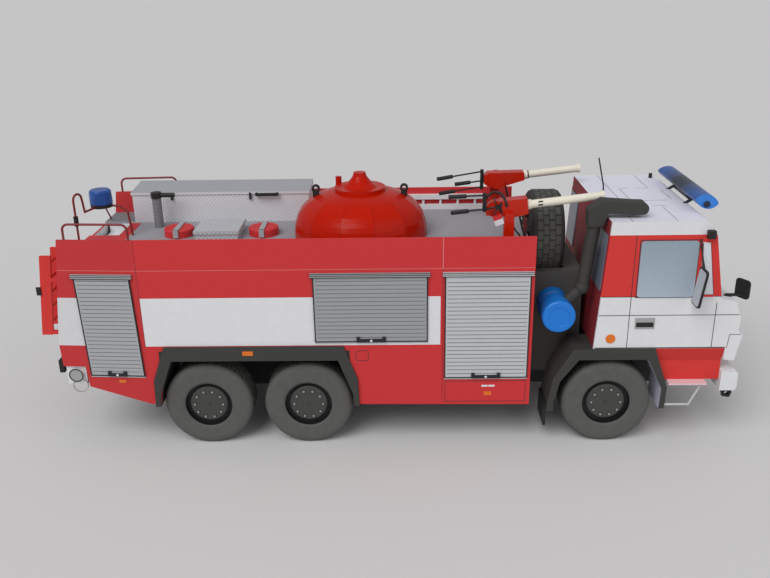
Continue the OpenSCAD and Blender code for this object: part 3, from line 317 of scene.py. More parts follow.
def make_pale_inks():
    """White and grey printed card, matte unless its comment says more."""
    # bare white card: soft, with a trace of fibre
    INKS["white"] = card("Card_white", WHITE, depth=0.04)
    # roof sheet: a cooler white, a painted tint of cool light from above
    INKS["roof"] = card("Card_roof_white", "#dcdce8", depth=0.03)
    # arch trims and intake: near black and flat
    INKS["grey"] = card("Card_fender_grey", FENDER_GREY)
    # front fender: near black, with bare pale paper inside its front leg, greyed and blued there by painted
    # shade
    INKS["fender"] = card("Card_front_fender", FENDER_GREY, pattern=printed(
        layer("#b4b6c6", ahead=(None, -0.3), x=(0, None))))
    # underside: dark and without shine
    INKS["dark"] = card("Card_dark_grey", "#2c2c2c")
    # carrier of the spare wheel: a lighter dull grey
    INKS["carrier"] = card("Card_carrier_grey", "#4b4b47")
    # black fittings: satin, so that their edges catch a little light
    INKS["black"] = card("Card_black", "#161616", roughness=0.6)
    # roof deck: mid grey with a faint lattice
    INKS["deck"] = card("Card_deck_grey", "#8c8b91", pattern=chequer(1.5, "#9f9ea4"))
    # steps: pink lattice on the plates over pale stirrups
    INKS["step"] = card("Card_step_plate", "#b8babb", pattern=printed(
        layer(chequer(1.2, "#e6d2d5", "#d7a4ab"), z=(box_mm("steps")[1].z - 1.05, None))))
    # locker: pale lattice on the sides and a darker one on the lid
    INKS["locker"] = card("Card_locker_plate", "#c4c5c9", pattern=printed(
        layer(chequer(1.8, "#d8d9dc")), layer(chequer(1.8, "#a8a9ad", "#939498"), up=(0.7, None))))
    # rolled vent pipe: plain mid grey
    INKS["pipe"] = card("Card_pipe_grey", "#77787a")
    # straps of the hatches: plain light grey
    INKS["strap"] = card("Card_strap_grey", "#a2a4a7")
    # barrels of the monitors: warm cream
    INKS["cream"] = card("Card_barrel_cream", "#e4decd")


def make_wheel_inks():
    """Dark printed card of the wheels, as dull as rubber, and the steel of their axles."""
    # tyre wall: worn grey, a little blotched
    INKS["tyre"] = card("Card_tyre_grey", "#575754", roughness=0.85, depth=0.12)
    # groove: the dark between the blocks
    INKS["groove"] = card("Card_tread_groove", "#2f2f2c", roughness=0.85)
    # tread block: lighter than its groove and uneven
    INKS["tread"] = card("Card_tread_block", "#4b4b46", roughness=0.85, depth=0.2)
    # hub disc: flat dark grey
    INKS["hub"] = card("Card_hub_grey", "#3f3f3c")
    # drawn steel rod: bare and bright
    INKS["steel"] = card("Steel_rod", "#b0b0b2", roughness=0.35, Metallic=1.0)


def make_line_inks():
    """Inks of lines and marks, and printed paper."""
    # silver ink: a weak metal glint
    INKS["silver"] = card("Ink_silver", "#a8a8a8", roughness=0.4, Metallic=0.3)
    # shutter paper: satin silver, darker on the middle and rear shutters
    INKS["slat"] = card("Paper_shutter_silver", "#bcbfc1", roughness=0.5, pattern=printed(
        layer(SHADE_GREY, 0.6, x=(-119.5, -71.5)), layer(SHADE_GREY, 0.4, x=(None, FOLD_X))))
    # panel line: a dark thread on red or white
    INKS["line"] = card("Ink_dark_line", "#3a2c2e")
    # line between two slats: soft grey, painted shade in the groove, also laid beside the lamp boxes
    INKS["shade_line"] = card("Ink_shade_line", "#66686a")
    # fold in red card: a darker red edge
    INKS["fold_line"] = card("Ink_fold_line", "#8f2b31")
    # pale fold: a pink edge
    INKS["pale_line"] = card("Ink_pale_line", "#d98684")
    # marker: bright orange with a sheen
    INKS["orange"] = card("Ink_orange", "#dc7014", roughness=0.5)
    # printed glass: smooth, paler towards the sill, dark behind the door and pale in the quarter panes
    INKS["window"] = card("Paper_window_blue", "#8b9ca8", roughness=0.35, pattern=printed(
        layer("#a9b6c3", ("z", 89, 64, "LINEAR")), layer("#69717e", x=(None, 4)),
        layer("#d3d8dd", x=(30.4, 39), out=(HALF_CAB - 0.2, None))))
    # mirror face: smooth pale grey
    INKS["pane"] = card("Paper_pane_grey", "#b9bdc4", roughness=0.35)


def make_lacquer_inks(look):
    """Brushed lacquer and paint over card and wire: stronger colours, with a soft shine."""
    # monitors: deep orange red under a thin clear coat, in broad soft patches
    INKS["gloss_red"] = card("Lacquer_red", "#bd1d00", roughness=0.32, depth=0.12, fibre_mm=9,
                             Specular_IOR_Level=0.3, Coat_Weight=0.12, Coat_Roughness=0.08)
    # tank dome: a like red with a broad shine that breaks at the gores
    INKS["dome"] = dome_card("Lacquer_dome_red", hex_of(look.dome_red))
    # air-filter drum: clear bright blue with dark lines
    INKS["blue"] = card("Lacquer_drum_blue", hex_of(look.drum_blue), roughness=0.45, pattern=drum_print())
    # light bar: blue that darkens towards its middle and is bright on its ends
    INKS["bar_blue"] = card("Lacquer_bar_blue", hex_of(look.lamp_blue), roughness=0.3, depth=0.2,
                            pattern=printed(layer("#1d3a63", ("out", 24, 6, "SMOOTHSTEP")),
                                            layer("#1f74cc", aside=(0.8, None))))
    # beacon: glassy blue with cloudy patches
    INKS["lamp_blue"] = card("Lacquer_lamp_blue", "#1b51a0", roughness=0.3, depth=0.3, fibre_mm=4)
    # foot of the light bar: almost black blue
    INKS["navy"] = card("Lacquer_navy", "#18253a", roughness=0.35)
    # painted wire: dark red with a thin glint along it
    INKS["wire"] = card("Painted_wire_red", "#7c1c1c", roughness=0.45)


NODE_INKS = {
    "body_red": "body_side_right body_side_left",
    "tail_red": "body_rear",
    "cab_red": "cab_side_right cab_side_left cab_front",
    "red": "cab_apron cab_floor body_front rear_ladder",
    "dark_red": "cab_rear",
    "hatch": "hatches",
    "locker": "locker",
    "pipe": "vent_pipe",
    "step": "steps",
    "cream": "monitor_barrels",
    "white": "bumper lamp_boxes rear_lamps rear_well deck_ladder",
    "roof": "cab_roof",
    "grey": "arch_trims snorkel",
    "fender": "front_fenders",
    "dark": "chassis bearers arch_liner body_floor",
    "carrier": "spare_carrier",
    "black": "mud_flaps cab_fittings mirrors monitor_handles roof_fittings spare_hub",
    "deck": "deck",
    "tyre": "tyre_front_right tyre_front_left tyre_middle_right tyre_middle_left "
            "tyre_rear_right tyre_rear_left",
    # the spare tyre is all in the dark ink of the grooves, painted shade on its walls
    "groove": "spare_tyre",
    "hub": "front_hubs middle_hubs rear_hubs",
    "slat": "shutters",
    "window": "cab_windows",
    "dome": "tank_dome",
    "gloss_red": "monitors",
    "blue": "air_filter",
    "bar_blue": "light_bar",
    "lamp_blue": "beacon",
    "navy": "light_bar_base",
    "wire": "rails beacon_frame",
    "steel": "front_axle middle_axle rear_axle",
}


# Pieces


def add_piece(name, bm, finish, body):
    """Turns a built mesh, in metres, into a piece of the truck."""
    mesh = bpy.data.meshes.new(name)
    bm.to_mesh(mesh)
    bm.free()
    mesh.materials.append(finish)
    piece = bpy.data.objects.new(name, mesh)
    bpy.context.scene.collection.objects.link(piece)
    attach(piece, body)


def keep(name, bm, ink, body=BODY):
    """One piece from a mesh that is built in millimetres."""
    bmesh.ops.scale(bm, vec=(MM, MM, MM), verts=bm.verts)
    bmesh.ops.recalc_face_normals(bm, faces=bm.faces)
    add_piece(name, bm, INKS[ink], body)


def keep_mesh(name, meshes, body=BODY):
    """One piece from (mesh, matrix) pairs that are already in metres."""
    bm = bmesh.new()
    for mesh, matrix in meshes:
        copy = mesh.copy()
        copy.transform(matrix)
        bm.from_mesh(copy)
        bpy.data.meshes.remove(copy)
    add_piece(name, bm, meshes[0][0].materials[0], body)


def prism(bm, near, far):
    """Closed solid between two like loops of points."""
    a = [bm.verts.new(p) for p in near]
    b = [bm.verts.new(p) for p in far]
    bm.faces.new(a)
    bm.faces.new(list(reversed(b)))
    for i in range(len(a)):
        j = (i + 1) % len(a)
        bm.faces.new((a[j], a[i], b[i], b[j]))


def block(bm, low, high):
    """Box between two corners, measured from the front axle."""
    (x0, y0, z0), (x1, y1, z1) = low, high
    loop = [(x0, y0), (x1, y0), (x1, y1), (x0, y1)]
    prism(bm, [(x + AXLE_X, y, z0) for x, y in loop], [(x + AXLE_X, y, z1) for x, y in loop])


def on_side(bm, outline, y_of, base=0.0, lift=INK):
    """Print of a side-view outline on both sides; y_of gives the wall's half width at x."""
    for side in (-1, 1):
        prism(bm, [(x + AXLE_X, side * (y_of(x) + base), z) for x, z in outline],
              [(x + AXLE_X, side * (y_of(x) + base + lift), z) for x, z in outline])


def side_print(name, ink, slot, y_of, outlines, **depths):
    """One piece of flat prints on both sides."""
    bm = bmesh.new()
    for outline in outlines:
        on_side(bm, outline, y_of, **depths)
    keep(name, bm, ink)


def rectangle(x0, z0, x1, z1):
    """Corners of an upright rectangle in side view."""
    return [(x0, z0), (x1, z0), (x1, z1), (x0, z1)]


def frame_strips(x0, z0, x1, z1, w):
    """Four strips that outline a rectangle."""
    return [rectangle(x0, z0, x1, z0 + w), rectangle(x0, z1 - w, x1, z1),
            rectangle(x0, z0 + w, x0 + w, z1 - w), rectangle(x1 - w, z0 + w, x1, z1 - w)]


def ring_points(x, z, r, count=24):
    """Points of a circle in side view."""
    return [(x + r * math.cos(2 * math.pi * i / count), z + r * math.sin(2 * math.pi * i / count))
            for i in range(count)]


def axes_across(axis):
    """Unit vector along an axis, and two across it."""
    axis = Vector(axis).normalized()
    a = axis.orthogonal().normalized()
    return axis, a, axis.cross(a)


def disc(bm, centre, axis, r, thickness, count=32):
    """Flat round plate from a centre along an axis, measured from the front axle."""
    axis, a, b = axes_across(axis)
    middle = Vector(centre) + Vector((AXLE_X, 0, 0))
    loop = [a * r * math.cos(2 * math.pi * i / count) + b * r * math.sin(2 * math.pi * i / count)
            for i in range(count)]
    prism(bm, [middle + p for p in loop], [middle + p + axis * thickness for p in loop])


def hoop(bm, centre, axis, r, wall, length, count=48):
    """Open tube round an axis, measured from the front axle."""
    axis, a, b = axes_across(axis)
    middle = Vector(centre) + Vector((AXLE_X, 0, 0))
    rings = []
    for radius, along in ((r, 0), (r + wall, 0), (r + wall, length), (r, length)):
        rings.append([bm.verts.new(middle + axis * along + a * radius * math.cos(2 * math.pi * i / count)
                                   + b * radius * math.sin(2 * math.pi * i / count)) for i in range(count)])
    for ring, after in zip(rings, rings[1:] + rings[:1]):
        for i in range(count):
            j = (i + 1) % count
            bm.faces.new((ring[i], ring[j], after[j], after[i]))


def cab_y(x):
    """Half width of the cab, the same at every x."""
    return HALF_CAB


def trim_y(x):
    """Half width of the body over the trims of the wheel arches."""
    return HALF_BODY + 1.0


# hoses and wires about the near monitor, each with its radius and its path from the front axle
MONITOR_WIRES = (
    (0.5, ((-49.8, -21.5, 100.4), (-47.2, -21.5, 102.6), (-44.8, -22.5, 102.7), (-43.2, -24.5, 101.6),
           (-42.4, -26.7, 99.9), (-42.1, -26.8, 98.3))),
    (0.25, ((-46.7, -24.0, 101.3), (-46.8, -26.9, 100.5), (-46.0, -27.0, 98.7))),
    (0.35, ((-50.9, -24.6, 96.5), (-48.4, -27.0, 97.8), (-45.5, -27.2, 98.3))),
    (0.25, ((-45.7, -27.2, 97.9), (-46.5, -27.6, 96.7), (-47.3, -28.3, 95.4))),
    (0.4, ((-44.3, -26.6, 100.0), (-44.5, -27.0, 98.0), (-44.1, -26.6, 95.7))),
    (0.25, ((-37.6, -25.0, 94.6), (-35.7, -26.5, 93.7), (-33.7, -27.0, 91.0), (-34.4, -27.0, 87.7),
            (-34.1, -27.0, 80.0))),
    (0.35, ((-40.0, -26.6, 92.0), (-38.6, -28.0, 89.2), (-36.4, -28.0, 86.0), (-35.6, -28.0, 80.0))),
)


# Geometry Nodes trees for what repeats


def new_tree(name, sizes):
    """Empty geometry tree with named inputs, None for a path, whose result gets a material."""
    tree = bpy.data.node_groups.new(name, "GeometryNodeTree")
    kinds = {int: "NodeSocketInt", float: "NodeSocketFloat", tuple: "NodeSocketVector",
             type(None): "NodeSocketGeometry"}
    tree.interface.new_socket("Geometry", in_out="OUTPUT", socket_type="NodeSocketGeometry")
    for key, value in sizes.items():
        socket = tree.interface.new_socket(key, in_out="INPUT", socket_type=kinds[type(value)])
        if value is not None:
            socket.default_value = value
    tree.interface.new_socket("Ink", in_out="INPUT", socket_type="NodeSocketMaterial")
    return tree, add(tree, "NodeGroupInput")


def end_tree(tree, source, instances):
    """Ends a tree in real geometry with its material."""
    real = add(tree, "GeometryNodeRealizeInstances", (instances,))
    inked = add(tree, "GeometryNodeSetMaterial", {"Geometry": real, "Material": source.outputs["Ink"]})
    add(tree, "NodeGroupOutput", (inked,))


def slat_tree():
    """Row of flat strips, one over the other, that paint shade into the grooves of a shutter."""
    tree, source = new_tree("Slat shade lines", {"Count": 4, "Pitch": 0.0017, "Lean": 0.0,
                                           "Strip": (0.01, 0.001, 0.0004)})
    step = add(tree, "ShaderNodeCombineXYZ", {"X": source.outputs["Lean"], "Z": source.outputs["Pitch"]})
    line = add(tree, "GeometryNodeMeshLine", {"Count": source.outputs["Count"], "Offset": step})
    strip = add(tree, "GeometryNodeMeshCube", {"Size": source.outputs["Strip"]})
    end_tree(tree, source, add(tree, "GeometryNodeInstanceOnPoints", {"Points": line, "Instance": strip}))
    return tree


def ring_tree(rows, round_nuts=False):
    """Blocks or round nuts about the z axis in staggered rows, blocks facing outwards."""
    tree, source = new_tree(f"Ring of {rows}", {"Count": 10, "Radius": 0.018, "Pitch": 0.003,
                                                "Block": (0.001, 0.001, 0.001)})
    count, radius, pitch, block_size = [source.outputs[i] for i in range(4)]
    circle = add(tree, "GeometryNodeMeshCircle", {"Vertices": count, "Radius": radius})
    outwards = add(tree, "FunctionNodeAlignRotationToVector",
                   {"Vector": add(tree, "GeometryNodeInputPosition")}, axis="X")
    if round_nuts:
        wide, deep, _ = add(tree, "ShaderNodeSeparateXYZ", (block_size,)).outputs
        unit = add(tree, "GeometryNodeMeshCylinder", {"Vertices": 12, "Radius": wide, "Depth": deep})
    else:
        unit = add(tree, "GeometryNodeMeshCube", {"Size": block_size})
    ring = add(tree, "GeometryNodeInstanceOnPoints",
               {"Points": circle, "Instance": unit, "Rotation": outwards})
    joined = add(tree, "GeometryNodeJoinGeometry")
    half = add(tree, MATH, (math.pi, count), operation="DIVIDE")
    for i in range(rows):
        lift = add(tree, MATH, (pitch, i - (rows - 1) / 2), operation="MULTIPLY")
        move = {"Geometry": ring, "Translation": add(tree, "ShaderNodeCombineXYZ", {"Z": lift})}
        if i % 2:
            move["Rotation"] = add(tree, "ShaderNodeCombineXYZ", {"Z": half})
        shifted = add(tree, "GeometryNodeTransform", move)
        tree.links.new(shifted.outputs[0], joined.inputs[0])
    end_tree(tree, source, joined)
    return tree


def wire_tree():
    """Round wire that runs smoothly through the points of a path."""
    tree, source = new_tree("Wire", {"Path": None, "Radius": 0.0003})
    curve = add(tree, "GeometryNodeMeshToCurve", {"Mesh": source.outputs["Path"]})
    smooth = add(tree, "GeometryNodeCurveSplineType", {"Curve": curve}, spline_type="CATMULL_ROM")
    fine = add(tree, "GeometryNodeSetSplineResolution", {"Geometry": smooth, "Resolution": 6})
    ring = add(tree, "GeometryNodeCurvePrimitiveCircle",
               {"Resolution": 8, "Radius": source.outputs["Radius"]})
    tube = add(tree, "GeometryNodeCurveToMesh", {"Curve": fine, "Profile Curve": ring, "Fill Caps": True})
    end_tree(tree, source, tube)
    return tree


def grow(tree, sizes, ink, path=()):
    """Plain mesh of a geometry tree for the given sizes, along a path where it needs one."""
    start = bpy.data.meshes.new("holder")
    start.from_pydata(path, [(i, i + 1) for i in range(len(path) - 1)], [])
    holder = bpy.data.objects.new("holder", start)
    bpy.context.scene.collection.objects.link(holder)
    modifier = holder.modifiers.new("Repeat", "NODES")
    modifier.node_group = tree
    sizes = dict(sizes, Ink=INKS[ink])
    for socket in tree.interface.items_tree:
        if socket.in_out == "INPUT" and socket.name in sizes:
            modifier[socket.identifier] = sizes[socket.name]
    depsgraph = bpy.context.evaluated_depsgraph_get()
    depsgraph.update()
    mesh = bpy.data.meshes.new_from_object(holder.evaluated_get(depsgraph))
    mesh.materials.clear()
    mesh.materials.append(INKS[ink])
    holder.modifiers.remove(modifier)
    bpy.data.objects.remove(holder)
    return mesh


# Settings


class TruckSizes(bpy.types.PropertyGroup):
    """Sizes of the prints that a maker would change."""
    band_low: bpy.props.FloatProperty(name="Band foot", description="Lower edge of the white band",
                                      default=45.4 * MM, unit="LENGTH")
    band_high: bpy.props.FloatProperty(name="Band head", description="Upper edge of the white band",
                                       default=66.0 * MM, unit="LENGTH")
    slat_pitch: bpy.props.FloatProperty(name="Slat", description="Height of one slat of a shutter",
                                        default=1.7 * MM, unit="LENGTH")
    tread_blocks: bpy.props.IntProperty(name="Tread blocks", description="Blocks in one row of the tread",
                                        default=28, min=12, max=80)


class TruckColours(bpy.types.PropertyGroup):
    """Colours of the main finishes, as sRGB."""
    body_red: bpy.props.FloatVectorProperty(name="Body red", description="Ink of the body sides",
                                            subtype="COLOR_GAMMA", size=3, default=(0.785, 0.165, 0.175))
    cab_red: bpy.props.FloatVectorProperty(name="Cab red", description="Ink of the cab",
                                           subtype="COLOR_GAMMA", size=3, default=(0.82, 0.185, 0.165))
    dome_red: bpy.props.FloatVectorProperty(name="Dome red", description="Lacquer of the tank dome",
                                            subtype="COLOR_GAMMA", size=3, default=(0.71, 0.095, 0.0))
    drum_blue: bpy.props.FloatVectorProperty(name="Drum blue", description="Lacquer of the air-filter drum",
                                             subtype="COLOR_GAMMA", size=3, default=(0.03, 0.46, 0.82))
    lamp_blue: bpy.props.FloatVectorProperty(name="Lamp blue", description="Lacquer of the light bar",
                                             subtype="COLOR_GAMMA", size=3, default=(0.09, 0.33, 0.63))


# Operators


class TRUCK_OT_finish_cards(bpy.types.Operator):
    """Gives every card part its finish"""
    bl_idname = "truck.finish_cards"
    bl_label = "Finish card parts"

    def execute(self, context):
        make_red_inks(context.scene.truck_colours)
        make_pale_inks()
        make_wheel_inks()
        make_line_inks()
        make_lacquer_inks(context.scene.truck_colours)
        for ink, names in NODE_INKS.items():
            for name in names.split():
                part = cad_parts[name]
                part.data.materials.clear()
                part.data.materials.append(INKS[ink])
        return {"FINISHED"}


class TRUCK_OT_print_body(bpy.types.Operator):
    """Prints panel lines, flaps and markers on the body sides"""
    bl_idname = "truck.print_body"
    bl_label = "Print body sides"

    def execute(self, context):
        head = WALL_TOP - 0.2
        side_print("fold_lines", "fold_line", "red_card", wall_y,
                   [rectangle(FOLD_X, 45.0, FOLD_X + 0.2, head),
                    rectangle(SEAM_X, SKIRT_Z, SEAM_X + LINE_W, LINE_Z)])
        side_print("pale_lines", "pale_line", "red_card", wall_y,
                   [rectangle(SEAM_X, LINE_Z, SEAM_X + LINE_W, head)])
        side_print("panel_lines", "line", "black_card", wall_y,
                   frame_strips(-66.0, SKIRT_Z, -33.4, 29.2, 0.2) + self.flap_lines())
        side_print("panel_slots", "white", "white_card", wall_y,
                   [rectangle(x, 26.5, x + 2.5, 27.3) for x in (-51.2, -48.4)])
        marks = bmesh.new()
        on_side(marks, rectangle(-50.2, 22.7, -47.2, 24.3), wall_y)
        on_side(marks, rectangle(-198.6, 29.0, -195.9, 30.3), wall_y)
        on_side(marks, rectangle(-147.0, 41.5, -142.8, 43.4), trim_y)
        keep("side_markers", marks, "orange")
        return {"FINISHED"}

    def flap_lines(self):
        """Outline of the filler flap, with round corners."""
        x, z = -99.2, 40.7
        flat_x, flat_z = 1.5, 1.2
        corners = ((1, 1, 0), (-1, 1, 1), (-1, -1, 0), (1, -1, 1))
        outer, inner = [[(x + sx * (flat_x + r * math.cos(t)), z + sz * (flat_z + r * math.sin(t)))
                         for sx, sz, turn in corners
                         for t in [math.pi / 2 * abs(turn - k / 3) for k in range(4)]] for r in (1.1, 0.88)]
        return [[outer[i - 1], outer[i], inner[i], inner[i - 1]] for i in range(len(outer))]


class TRUCK_OT_dress_shutters(bpy.types.Operator):
    """Lays painted shade lines between the slats, and the black rails and handles"""
    bl_idname = "truck.dress_shutters"
    bl_label = "Dress shutters"

    def execute(self, context):
        pitch = context.scene.truck_sizes.slat_pitch / MM
        tree = slat_tree()
        top = DECK_Z - SLATS_UNDER
        strips = []
        trims, dots, heads, feet = bmesh.new(), bmesh.new(), bmesh.new(), bmesh.new()
        # ends, foot, half a handle's length, and how far the slats' ends lean
        shutters = ((-66.25, -33.15, 31.0, 5.8, 0.0), (-117.65, -73.05, 47.2, 5.8, 0.0),
                    (TAIL_X + 11.0, FOLD_X - 2.2, 32.5, 3.9, -0.035))
        for x0, x1, z0, grasp, skew in shutters:
            # the shade lines are drawn as coarse as they need to show
            strip = Vector((x1 - x0 - 1.8, 0.16, 0.42)) * MM
            count = int((top - z0 - pitch / 2) / pitch + 1e-6)
            mesh = grow(tree, {"Count": count, "Pitch": pitch * MM, "Lean": skew * pitch * MM,
                               "Strip": tuple(strip)}, "shade_line")
            middle = (x0 + x1) / 2
            foot, first, head = [skew * (z - (z0 + top) / 2) for z in (z0, z0 + pitch, top)]
            for side in (-1, 1):
                lean = -side * math.atan(TAIL_TAPER / (FOLD_X - TAIL_X)) if skew else 0.0
                x = middle + first
                place = Vector((x + AXLE_X, side * (wall_y(x) + 0.4), z0 + pitch)) * MM
                strips.append((mesh, Matrix.Translation(place) @ Matrix.Rotation(-lean, 4, "Z")))
            for x in (x0 - 0.1, x1 - 0.35):
                after = x + 0.45
                on_side(trims, [(x + foot, z0), (after + foot, z0), (after + head, top), (x + head, top)],
                        wall_y, lift=0.62)
            left, right = x0 - 0.1 + foot, x1 + 0.1 + foot
            on_side(trims, rectangle(left, z0 - 0.3, right, z0 + 0.15), wall_y, lift=0.62)
            on_side(feet, rectangle(left, z0 - 0.9, right, z0 - 0.35), wall_y, lift=0.3)
            for z in (top + 0.1, top + 0.85, top + 1.55):
                on_side(heads, rectangle(x0 - 1.02 + head, z - 0.12, x1 + 1.02 + head, z + 0.12), wall_y,
                        lift=0.98)
            grip = middle + foot
            on_side(trims, rectangle(grip - grasp, z0 - 0.2, grip + grasp, z0 + 1.3), wall_y, lift=1.15)
            for end in (grip - grasp, grip + grasp - 1.4):
                on_side(trims, rectangle(end, z0 + 1.3, end + 1.4, z0 + 2.0), wall_y, lift=1.15)
            on_side(dots, ring_points(grip, z0 + 0.5, 0.5, 12), wall_y, lift=1.22)
        keep("shutter_heads", heads, "dark")
        keep("shutter_feet", feet, "pane")
        keep_mesh("shade_lines", strips)
        keep("shutter_trims", trims, "black")
        keep("shutter_dots", dots, "white")
        return {"FINISHED"}


class TRUCK_OT_print_cab(bpy.types.Operator):
    """Prints lines, seams and quarter panes on the cab"""
    bl_idname = "truck.print_cab"
    bl_label = "Print cab"

    def execute(self, context):
        foot = CAB_FLOOR + 0.4
        side_print("cab_lines", "line", "black_card", cab_y,
                   [rectangle(5.9, foot, 5.9 + LINE_W, CAB_TOP - 5.2),
                    rectangle(39.3, foot, 39.3 + LINE_W, 62.0),
                    rectangle(-6.0, 56.7, 48.8, 56.7 + LINE_W),
                    rectangle(-6.6, CAB_FLOOR + 0.1, 44.9, CAB_FLOOR + 0.5),
                    rectangle(-5.4, 64.5, 40.9, 64.5 + LINE_W),
                    *frame_strips(7.6, SILL_Z + 0.8, 30.2, CAB_TOP - 7.0, 0.3)])
        # the lamp boxes are flush with the cab, so a thin line of painted shade parts them
        side_print("lamp_seam_shade", "shade_line", "black_card", cab_y,
                   [[(45.4, CAB_FLOOR), (45.65, CAB_FLOOR), (46.25, 48.5), (46.0, 48.5)],
                    rectangle(46.25, 48.25, 50.5, 48.5)])
        pane = box_mm("cab_windows")[1].y - HALF_CAB
        foot, head = 65.4, CAB_TOP - 8.3
        side_print("quarter_sills", "red", "red_card", cab_y,
                   [rectangle(32.6, BELT_Z, 37.6, foot)], base=pane)
        edges = [[(x0, foot), (x0 + 0.3, foot), (x1 + 0.3, head), (x1, head)]
                 for x0, x1 in ((32.6, 31.0), (37.35, 33.9))]
        side_print("quarter_edges", "fold_line", "red_card", cab_y,
                   edges + [rectangle(32.6, foot, 37.65, foot + LINE_W)], base=pane)
        return {"FINISHED"}


class TRUCK_OT_dress_cab(bpy.types.Operator):
    """Adds the faces of mirrors and lamps, the ends of the light bar and the grille"""
    bl_idname = "truck.dress_cab"
    bl_label = "Dress cab"

    def execute(self, context):
        low, high = box_mm("mirrors")
        wide, tall, edge, cut, lean = 8.0, 14.6, 0.5, 1.4, 2.0
        outline = ((edge, cut), (edge, tall - cut), (cut, tall - edge), (wide - cut, tall - edge),
                   (wide - edge, tall - cut), (wide - edge, cut), (wide - cut, edge), (cut, edge))
        faces = bmesh.new()
        for side in (-1, 1):
            loop = [(low.x + lean * b / tall - 0.05, side * (high.y - a), SILL_Z + b) for a, b in outline]
            prism(faces, loop, [(x - 0.08, y, z) for x, y, z in loop])
        keep("mirror_faces", faces, "pane")
        lenses = bmesh.new()
        dip = math.radians(10.3)
        ahead = Vector((math.cos(dip), 0, -math.sin(dip)))
        for y in (HALF_CAB - 3.5, HALF_CAB - 9.5):
            for side in (-1, 1):
                disc(lenses, Vector((50.2, side * y, CAB_FLOOR + 0.1)) + ahead * 0.62, ahead, 2.3, 0.12)
        keep("lamp_lenses", lenses, "silver")
        ends = bmesh.new()
        low, high = box_mm("light_bar")
        for side in (-1, 1):
            middle = (low.x + high.x) / 2 - AXLE_X - 0.4, side * high.y, (low.z + high.z) / 2 - 0.7
            disc(ends, middle, (0, side, 0), 1.3, INK)
        keep("bar_ends", ends, "navy")
        grille = bmesh.new()
        half = HALF_CAB - 15.0
        for foot in (43.6, 45.4, 47.2):
            bar = [(45.0 + AXLE_X + (z - CAB_FLOOR) * 4.2 / 7.6, y, z)
                   for z, y in ((foot, -half), (foot, half), (foot + 1.0, half), (foot + 1.0, -half))]
            prism(grille, bar, [(x + INK, y, z - INK / 2) for x, y, z in bar])
        keep("grille_bars", grille, "black")
        return {"FINISHED"}


class TRUCK_OT_fit_doors(bpy.types.Operator):
    """Fits handles, their plates and round markers to the cab's sides"""
    bl_idname = "truck.fit_doors"
    bl_label = "Fit doors"

    def execute(self, context):
        side_print("door_handles", "black", "black_card", cab_y,
                   [rectangle(8.9, 51.9, 15.7, 53.9)], lift=0.34)
        side_print("door_plates", "silver", "shutter_print", cab_y,
                   [rectangle(8.5, 51.2, 16.1, 55.7)], lift=0.3)
        side_print("cab_markers", "orange", "shutter_print", cab_y,
                   [ring_points(-0.6, 46.9, 1.9)], lift=0.25)
        return {"FINISHED"}


class TRUCK_OT_print_roof(bpy.types.Operator):
    """Prints the coloured fields, straps and lines on the roofs"""
    bl_idname = "truck.print_roof"
    bl_label = "Print roofs"

    def execute(self, context):
        end = box_mm("deck")[0].x - AXLE_X
        half = wall_y(end) - 1.2
        field, cross = end + 13.0, end + 17.6
        red = bmesh.new()
        block(red, (end + 0.2, -half, DECK_Z), (field, -0.1, DECK_Z + INK))
        block(red, (field, -half, DECK_Z), (cross, 18.0, DECK_Z + INK))
        keep("deck_red_fields", red, "hatch_red")
        far = bmesh.new()
        block(far, (end + 0.4, 21.2, DECK_Z), (field, half, DECK_Z + INK))
        keep("deck_far_field", far, "pipe")
        straps = bmesh.new()
        strap, reach, top = 1.06, HATCH_R + 0.5, DECK_Z + 3.98
        for x in (FIRST_HATCH, SECOND_HATCH):
            block(straps, (x - strap, -reach, top - 0.62), (x + strap, reach, top))
            block(straps, (x - strap, -reach - 0.2, DECK_Z + 0.6), (x + strap, -reach + 0.45, top))
        keep("hatch_straps", straps, "strap")
        lines = bmesh.new()
        edge = HALF_CAB - 1
        line_h = 0.04
        for x, y0, y1 in ((6.8, -3.4, edge), (4.2, -edge, -30.0), (23.4, 13.6, edge), (21.2, -edge, -17.0),
                          (11.0, -5.0, 13.0), (28.0, -5.0, 10.0)):
            block(lines, (x, y0, CAB_TOP), (x + LINE_W, y1, CAB_TOP + line_h))
        for x0, x1, y in ((11.0, 26.0, -7.0), (12.0, 15.0, 13.0), (18.0, 23.0, 13.0), (17.8, 23.6, -15.0)):
            block(lines, (x0, y, CAB_TOP), (x1, y + LINE_W, CAB_TOP + line_h))
        keep("roof_lines", lines, "pipe")
        return {"FINISHED"}


